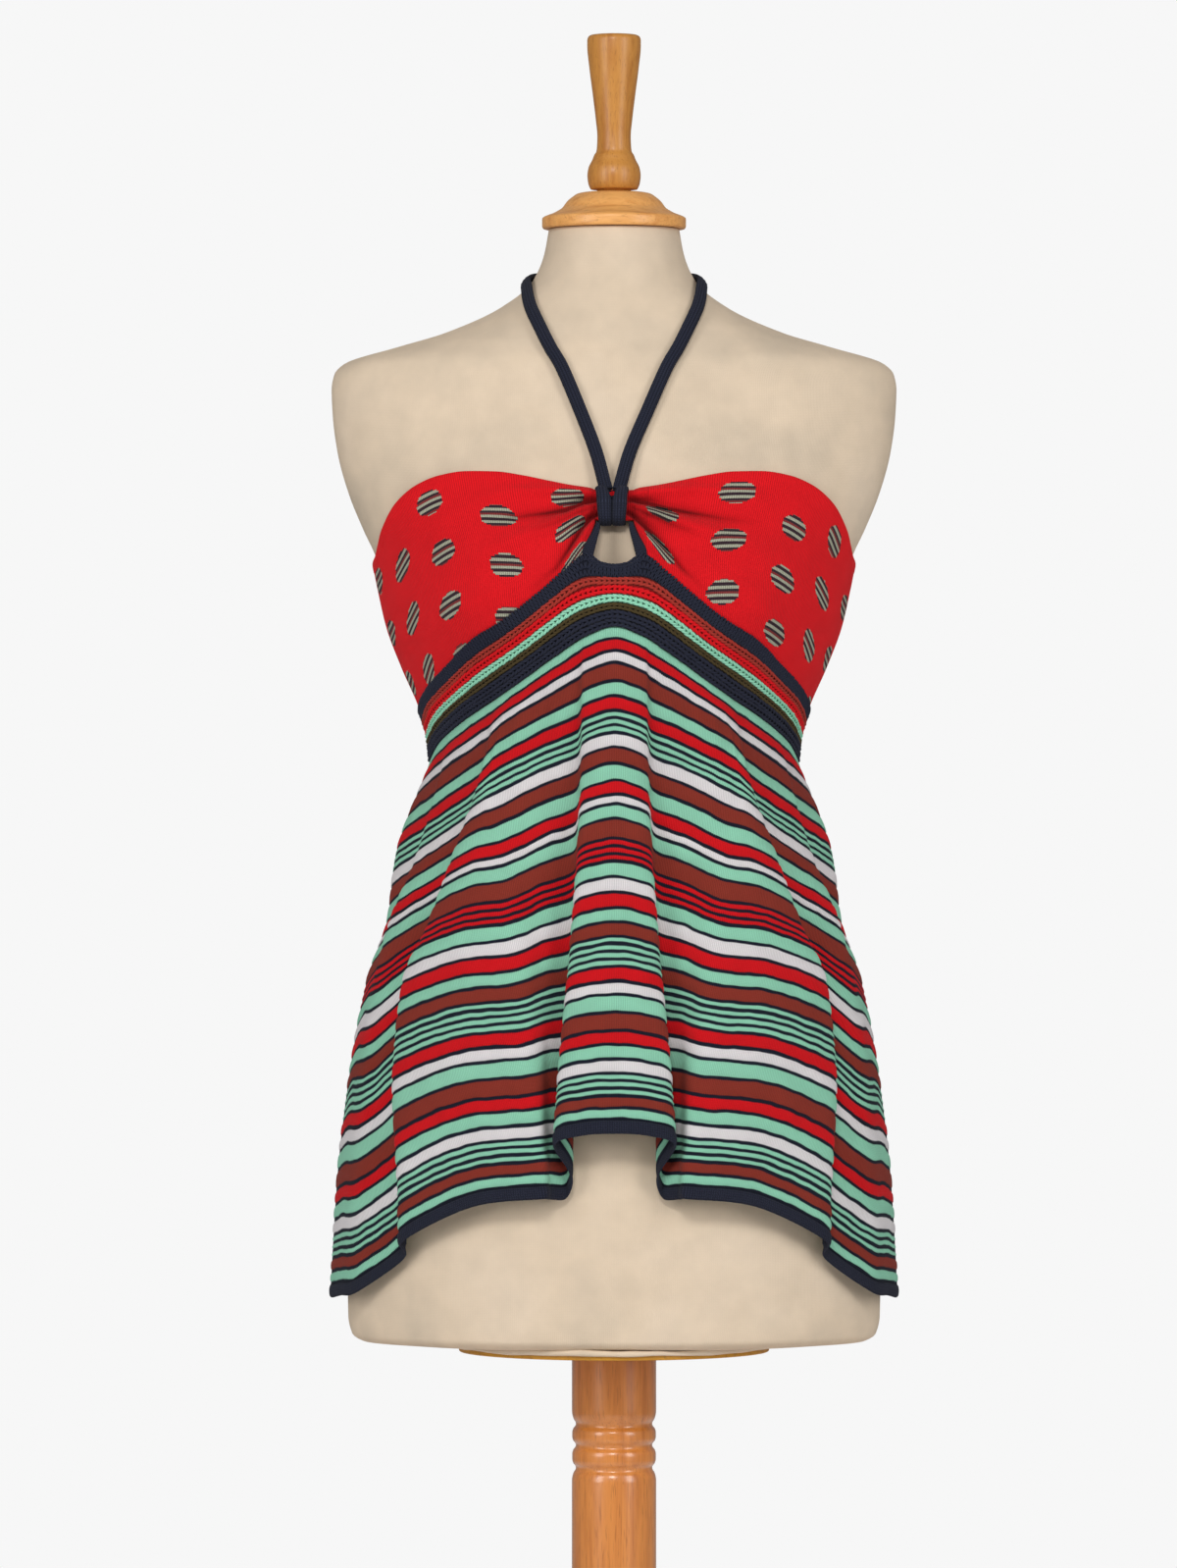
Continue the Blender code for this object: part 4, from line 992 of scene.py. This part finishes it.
skirtCreases = {
    "Front": (
        # half width, then across, height and out, in mm, along each crease
        (5, ((-46, 990, -1.5), (-50, 950, -1.8), (-56, 905, 0))),
        (5, ((-62, 985, 1.3), (-70, 940, 1.6), (-82, 890, 0))),
        (6, ((50, 992, -1.4), (53, 948, -1.7), (57, 900, 0))),
        (5.5, ((66, 980, 1.3), (76, 935, 1.6), (88, 880, 0))),
        (7, ((-6, 1000, 0), (-4, 940, 1), (-8, 860, 0))),
        (6, ((10, 930, 0), (8, 880, -0.9), (12, 820, 0))),
        (8, ((-70, 860, 0), (-76, 810, -1.6), (-84, 740, 0))),
        (8, ((82, 870, 0), (88, 800, -1.6), (90, 730, 0))),
        (7, ((-122, 900, 0), (-135, 860, 1.6), (-150, 800, 0))),
        (7, ((126, 900, 0), (140, 850, 1.6), (152, 790, 0))),
        (6, ((-160, 800, 0), (-164, 740, -1.6), (-166, 670, 0))),
        (6, ((162, 790, 0), (166, 730, -1.6), (168, 660, 0))),
        (8, ((-112, 740, 0), (-116, 700, 1.4), (-118, 650, 0))),
        (8, ((112, 760, 0), (118, 710, 1.4), (120, 655, 0))),
    ),
    "Back": (
        (7, ((-50, 940, -1.3), (-56, 880, -1.6), (-62, 800, 0))),
        (7, ((22, 940, 1.2), (18, 870, 1.5), (16, 780, 0))),
        (8, ((96, 900, 0), (108, 840, 1.8), (118, 760, 0))),
        (7, ((-104, 880, 0), (-118, 820, -1.7), (-126, 740, 0))),
        (8, ((56, 800, 0), (58, 740, -1.5), (56, 680, 0))),
        (6, ((-18, 780, 0), (-20, 720, 1.2), (-18, 665, 0))),
        (6, ((150, 820, 0), (160, 760, 1.4), (168, 690, 0))),
    ),
}


def throughFour(before, start, end, after, t):
    square, cube = t * t, t * t * t
    return 0.5 * (2 * start + (end - before) * t + (2 * before - 5 * start + 4 * end - after) * square
                  + (3 * start - before - 3 * end + after) * cube)


def throughAll(rows, steps):
    # a smooth line through all rows, with so many steps between each two
    rows = [2 * rows[0] - rows[1], *rows, 2 * rows[-1] - rows[-2]]
    line = [throughFour(*rows[i : i + 4], k / count) for i, count in enumerate(steps) for k in range(count)]
    return line + [rows[-2]]


def foldLine(fold, side, facing):
    # one fold as (height, across, forward) rows, from below the hem up to the band
    angle, hem, places = fold[0], fold[1], fold[2:]
    start = float(bandBottomAt(fromMiddle(angle))) - seamGap
    top = onForm(side * angle, start, clothMiddle)
    line = [(start, top[0], top[1])]
    for level, (across, ahead) in zip(levels, places):
        if level < start - skirtCloth["below"]:
            line.append((level, side * across / 1000, facing * ahead / 1000))
    before, last = np.array(line[-2:])
    low = levels[-1] - skirtCloth["lower"]
    slant = (last - before) / (last[0] - before[0])
    across, ahead = (last + slant * (low - last[0]) * skirtCloth["eased"])[1:]
    line.append((low, across, ahead))
    return angle * side, start, hem, sorted(line)


def skirtGrid(lines, steps, bodyShares, trimShares):
    # the middle of the cloth's wall down to the hem, then of the trim's, as columns at the returned angles
    columns = []
    for _, start, hem, line in lines:
        whole = start - hem
        wide = hemTrim["wideOnCrest"] if hem > hemTrim["crestAbove"] else hemTrim["wide"]
        body = bodyShares * (1 - (wide + hemTrim["seam"]) / whole)
        share = np.concatenate([body, 1 - wide / whole * (1 - trimShares)])
        height = start + (hem - start) * share
        across, forward = (curveOf(line, column)(height) for column in (1, 2))
        columns.append(np.stack([across, forward, height], -1))
    grid = np.array(throughAll(columns, steps))
    angles = [np.arange(count) / count * (after[0] - line[0]) + line[0]
              for line, after, count in zip(lines, lines[1:], steps)]
    angles = np.concatenate([*angles, [lines[-1][0]]])
    top = onForm(angles, bandBottomAt(fromMiddle(angles)) - seamGap, clothMiddle)
    settle = np.clip(1 - bodyShares / skirtCloth["settles"], 0, 1) ** 2
    grid[:, : len(bodyShares)] += (top - grid[:, 0])[:, None] * settle[None, :, None]
    half = halfWidth(grid[..., 2]) + clothMiddle
    depth = np.where(grid[..., 1] < 0, frontDepth(grid[..., 2]), backDepth(grid[..., 2])) + clothMiddle
    share = np.minimum(np.hypot(grid[..., 0] / half, grid[..., 1] / depth), 1)
    grid[..., :2] /= share[..., None]
    return grid, angles


skirtShares, puffs = np.array(stripeRows).T
count = len(skirtShares)
trimShares = np.linspace(-hemTrim["lap"], 1, hemTrim["rows"])
frontLines = [foldLine(fold, -1, -1) for fold in reversed(frontFolds[1:])]
frontLines += [foldLine(fold, 1, -1) for fold in frontFolds]
backLines = [foldLine(fold, 1, 1) for fold in backFolds]
backLines += [(360 - angle, start, hem, [(height, -across, ahead) for height, across, ahead in line])
              for angle, start, hem, line in reversed(backLines[:-1])]
frontSteps, backSteps = skirtCloth["frontSteps"], skirtCloth["backSteps"]
for side, lines, steps in (("Front", frontLines, frontSteps[::-1] + frontSteps),
                           ("Back", backLines, backSteps + backSteps[::-1])):
    grid, angles = skirtGrid(lines, steps, skirtShares, trimShares)
    outward = outwardOf(grid)
    outward[:, 0] = formOutward(angles, grid[:, 0, 2])
    body, trim = grid[:, :count], grid[:, count:]
    rows = lengthsAlong(grid, 0)
    rows = rows - rows[len(rows) // 2]
    creases = creaseRelief(body, skirtCreases[side])
    relief = puffs * stripes["puff"] + creases * np.clip(lengthsAlong(body, 1) / skirtCloth["below"], 0, 1)
    skirt = clothWall("skirt" + side, body, outward[:, :count], skirtCloth["thick"], stripedJersey,
                      placesOf(rows[:, :count], skirtShares * stripes["whole"] / 1000), relief, (True, False))
    wear(skirt, "skirt_" + side.lower())

    trimOut = np.broadcast_to(outward[:, count : count + 1], trim.shape)
    bulge = hemTrim["out"] * np.sin(np.pi * np.linspace(hemTrim["bulgeFrom"], 1, hemTrim["rows"]))
    trimPiece = clothWall("hemTrim" + side, trim, trimOut, hemTrim["thick"], navyJersey,
                          placesOf(rows[:, count:], lengthsAlong(trim, 1)), bulge)
    wear(trimPiece, "hem_trim_" + side.lower())
    print("skirt", side, len(skirt.data.polygons), "faces")

keyholeTrim = {"rows": 24, "columns": 9, "wide": 1.28, "short": 0.0022, "thick": 0.0024, "crown": 0.0007,
               "out": 0.0010, "gap": 1.5 * seamGap}
openAt, cutAt = (curveOf(keyhole, column) for column in (1, 2))


def trimWide(height, share):
    # how far from the middle the trim is at that share of its width
    return openAt(height) + (cutAt(height) - keyholeTrim["gap"] - openAt(height)) * share


for name, side in (("Left", -1), ("Right", 1)):
    columns = []
    for share in np.linspace(0, keyholeTrim["wide"], keyholeTrim["columns"])[::side]:
        low = keyhole[0][0]
        for _ in range(6):
            low = bandTopAt(np.degrees(np.arcsin(trimWide(low, share) / halfWidth(low)))) + keyholeTrim["gap"]
        height = np.linspace(keyhole[-1][0] - seamGap, low - keyholeTrim["short"], keyholeTrim["rows"])
        angle = side * np.degrees(np.arcsin(trimWide(height, share) / halfWidth(height)))
        columns.append(onForm(angle, height, clothMiddle + keyholeTrim["out"]))
    grid = np.array(columns)
    crown = np.sin(np.pi * np.linspace(0, 1, len(grid)))[:, None] * keyholeTrim["crown"]
    trimPiece = clothWall("keyholeTrim" + name, grid, outwardOf(grid), keyholeTrim["thick"], navyJersey,
                          placesOf(lengthsAlong(grid, 1), lengthsAlong(grid, 0)), crown)
    wear(trimPiece, "keyhole_trim_" + name.lower())

strapLine = (
    # angle to the left and to the right, height
    (1.7, 0.9, 1.137), (2, 1.2, 1.14), (3.8, 3.2, 1.164), (6.8, 6.6, 1.192), (10.5, 10.5, 1.2218),
    (15, 15, 1.236), (24, 24, 1.249), (42, 42, 1.265), (66, 66, 1.2785), (90, 90, 1.285),
    (120, 120, 1.2885), (150, 150, 1.29), (180, 180, 1.2905),
)
strap = {"wide": 0.0090, "thick": 0.0044, "clear": 0.0011, "wales": 11, "waleDeep": 0.00035,
         "waleLow": 0.6,  # share of a wale's height that lies inside the strap's plain oval
         "around": 66, "fine": 20, "uvAround": 0.022}
knots = [(-left, height) for left, _, height in strapLine]
knots += [(right, height) for _, right, height in reversed(strapLine[:-1])]
off = strap["thick"] / 2 + strap["clear"]
path, above = (np.array(throughAll([onForm(angle, height, lift) for angle, height in knots],
                                   [strap["fine"]] * (len(knots) - 1))) for lift in (off, off + 0.01))
along = unit(np.gradient(path, axis=0))
aside = unit(np.cross(along, unit(above - path)))
out = unit(np.cross(aside, along))
turns = turnsOf(strap["around"])
ridge = strap["waleDeep"] * (np.abs(np.cos(turns * strap["wales"] / 2)) - strap["waleLow"])
wideAt, highAt = strap["wide"] / 2 + ridge, strap["thick"] / 2 + ridge
points = (path[:, None] + aside[:, None] * (wideAt * np.cos(turns))[None, :, None]
          + out[:, None] * (highAt * np.sin(turns))[None, :, None])
lengths = lengthsAlong(path, 0)
uv = placesOf(turns / (2 * np.pi) * strap["uvAround"], lengths[:, None])
neckStrap = addPiece("neckStrap", withEnds(points, path[0], path[-1]), ringFaces(len(path), len(turns)),
                     withEnds(uv, [0, 0], [0, lengths[-1]]), navyJersey, (strap["uvAround"], 0))
wear(neckStrap, "neck_strap")

loopShape = {"across": -0.0018, "wideTop": 0.0232, "wideBottom": 0.0182, "top": 1.1391, "bottom": 1.1109,
             "thick": 0.0056, "thin": 0.0024, "ring": 110, "section": 96, "uvAround": 0.042,
             "before": 0.0056,  # from the middle of the cloth to the loop's inner face
             "behind": 0.0034,  # from the middle of the cloth back to the middle of the loop
             "corner": 2 / 3.2,  # power that squares the ring, 1 for a round one
             "parted": (0.85, 0.2)}  # heights at which the lobes have parted, across and forward
lobes = (
    # shares of half width and half thickness round the section: where the lobes touch, then where they part
    (-1, 0, -1, 0), (-0.95, 0.5, -0.96, 0.5), (-0.8, 0.86, -0.84, 0.86), (-0.52, 1, -0.62, 1),
    (-0.24, 0.9, -0.44, 0.84), (-0.08, 0.62, -0.34, 0.35), (-0.02, 0.2, -0.29, -1.6), (0, 0.1, 0, -3.4),
    (0.02, 0.2, 0.29, -1.6), (0.08, 0.62, 0.34, 0.35), (0.24, 0.9, 0.44, 0.84), (0.52, 1, 0.62, 1),
    (0.8, 0.86, 0.84, 0.86), (0.95, 0.5, 0.96, 0.5), (1, 0, 1, 0), (0.85, -0.6, 0.85, -0.6),
    (0.5, -0.9, 0.5, -1.6), (0, -1, 0, -3.7), (-0.5, -0.9, -0.5, -1.6), (-0.85, -0.6, -0.85, -0.6),
    (-1, 0, -1, 0),
)
top, bottom, thick, thin = (loopShape[name] for name in ("top", "bottom", "thick", "thin"))
panel = onForm(0, (top + bottom) / 2, clothMiddle)
lean = unit(onForm(0, top, 0) - onForm(0, bottom, 0))
out = np.array([0, -lean[2], lean[1]])
place = np.linspace(0, len(lobes) - 1, loopShape["section"], endpoint=False)
section = [curveOf([(k, lobe[column]) for k, lobe in enumerate(lobes)])(place) for column in range(4)]
turns = turnsOf(loopShape["ring"])
rise, ahead = np.sin(turns), np.cos(turns)
squareRise, squareAhead = (np.sign(value) * np.abs(value) ** loopShape["corner"] for value in (rise, ahead))
reach = np.where(ahead > 0, loopShape["before"] + thick / 2, loopShape["behind"])
centre = panel + lean * ((top - bottom - thin) / 2 * squareRise)[:, None]
centre = centre + out * (reach * squareAhead)[:, None]
facing = unit(lean * rise[:, None] + out * ahead[:, None])
halfThick = (thin + (thick - thin) * np.maximum(ahead, 0)) / 2
halfWide = (loopShape["wideBottom"] + (loopShape["wideTop"] - loopShape["wideBottom"]) * (rise + 1) / 2) / 2
front = np.clip(ahead * 3 + 1, 0, 1)
parted = [(front * np.clip(rise / share, 0, 1))[:, None] for share in loopShape["parted"]]
wideAt, highAt = (section[k] + (section[k + 2] - section[k]) * parted[k] for k in (0, 1))
points = centre[:, None] + facing[:, None] * (halfThick[:, None] * highAt)[..., None]
points[..., 0] += loopShape["across"] + halfWide[:, None] * wideAt
around = lengthsAlong(centre, 0)
uv = placesOf(np.linspace(0, loopShape["uvAround"], loopShape["section"]), around[:, None])
centreLoop = addPiece("centreLoop", points, ringFaces(len(turns), len(place), closed=True), uv, navyJersey,
                      (loopShape["uvAround"], around[-1]))
wear(centreLoop, "centre_loop")
print("strap and loop made")

floorFinish, tree, shader = newFinish("paleStudioFloor", 0.8)
shader.inputs["Base Color"].default_value = linear("EDEDED")
floorDisc = {"radius": 2.6, "height": -0.0004, "sides": 90, "fadesFrom": 1.0, "fadesTo": 2.5}
turns = turnsOf(floorDisc["sides"])
points = ringsOf(floorDisc["radius"], floorDisc["height"], turns)
floor = addPiece("studioFloor", points, [tuple(range(len(turns)))], None, floorFinish)
away = addNode(tree, "ShaderNodeVectorMath", {0: objectPlace(tree)}, operation="LENGTH").outputs["Value"]
fading = {"Value": away, "From Min": floorDisc["fadesFrom"], "From Max": floorDisc["fadesTo"], "To Min": 1.0,
          "To Max": 0.0}
fade = addNode(tree, "ShaderNodeMapRange", fading, interpolation_type="SMOOTHSTEP").outputs[0]
tree.links.new(fade, shader.inputs["Alpha"])

world = bpy.data.worlds.new("paleStudio")
bpy.context.scene.world = world
world.use_nodes = True
tree = world.node_tree
lit = tree.nodes["Background"]
lit.inputs["Color"].default_value = linear("F4F4F4")
lit.inputs["Strength"].default_value = 0.24
seen = addNode(tree, "ShaderNodeBackground", {"Color": linear("F7F7F7"), "Strength": 1.0}).outputs[0]
isSeen = addNode(tree, "ShaderNodeLightPath").outputs["Is Camera Ray"]
mixed = addNode(tree, "ShaderNodeMixShader", {0: isSeen, 1: lit.outputs[0], 2: seen}).outputs[0]
tree.links.new(mixed, tree.nodes["World Output"].inputs["Surface"])

aim = np.array([0, 0, 0.9])
lights = (
    # name, place, width, height, watts
    ("frontLeft", (-2.4, -2.6, 1.8), 1.2, 2.4, 50.0),
    ("frontRight", (2.5, -2.5, 1.8), 1.2, 2.4, 50.0),
    ("frontHigh", (-0.3, -3.4, 2.7), 0.8, 0.6, 42.0),
    ("backSoft", (0.0, 2.8, 2.2), 2.2, 1.8, 46.0),
)
for name, place, wide, tall, watts in lights:
    lamp = bpy.data.lights.new(name, "AREA")
    lamp.shape = "RECTANGLE"
    lamp.size, lamp.size_y, lamp.energy = wide, tall, watts
    holder = bpy.data.objects.new(name, lamp)
    holder.location = place
    x, y, z = aim - place
    holder.rotation_euler = (math.atan2(math.hypot(x, y), -z), 0, math.atan2(-x, y))
    holder.visible_camera = False
    holder.visible_glossy = name != "backSoft"  # behind the part it would only glare on the varnish's edges
    bpy.context.scene.collection.objects.link(holder)

view = {"place": (-0.0177, -6.0, 0.9383), "sensor": 24.0, "tall": 1.0866}  # tall: metres that the photo shows
camera = bpy.data.objects.new("camera", bpy.data.cameras.new("camera"))
camera.location = view["place"]
camera.rotation_euler = (math.radians(90), 0, 0)
camera.data.sensor_fit = "VERTICAL"
camera.data.sensor_height = view["sensor"]
camera.data.lens = -view["sensor"] * view["place"][1] / view["tall"]
bpy.context.scene.collection.objects.link(camera)
bpy.context.scene.camera = camera
bpy.context.scene.view_settings.view_transform = "Standard"
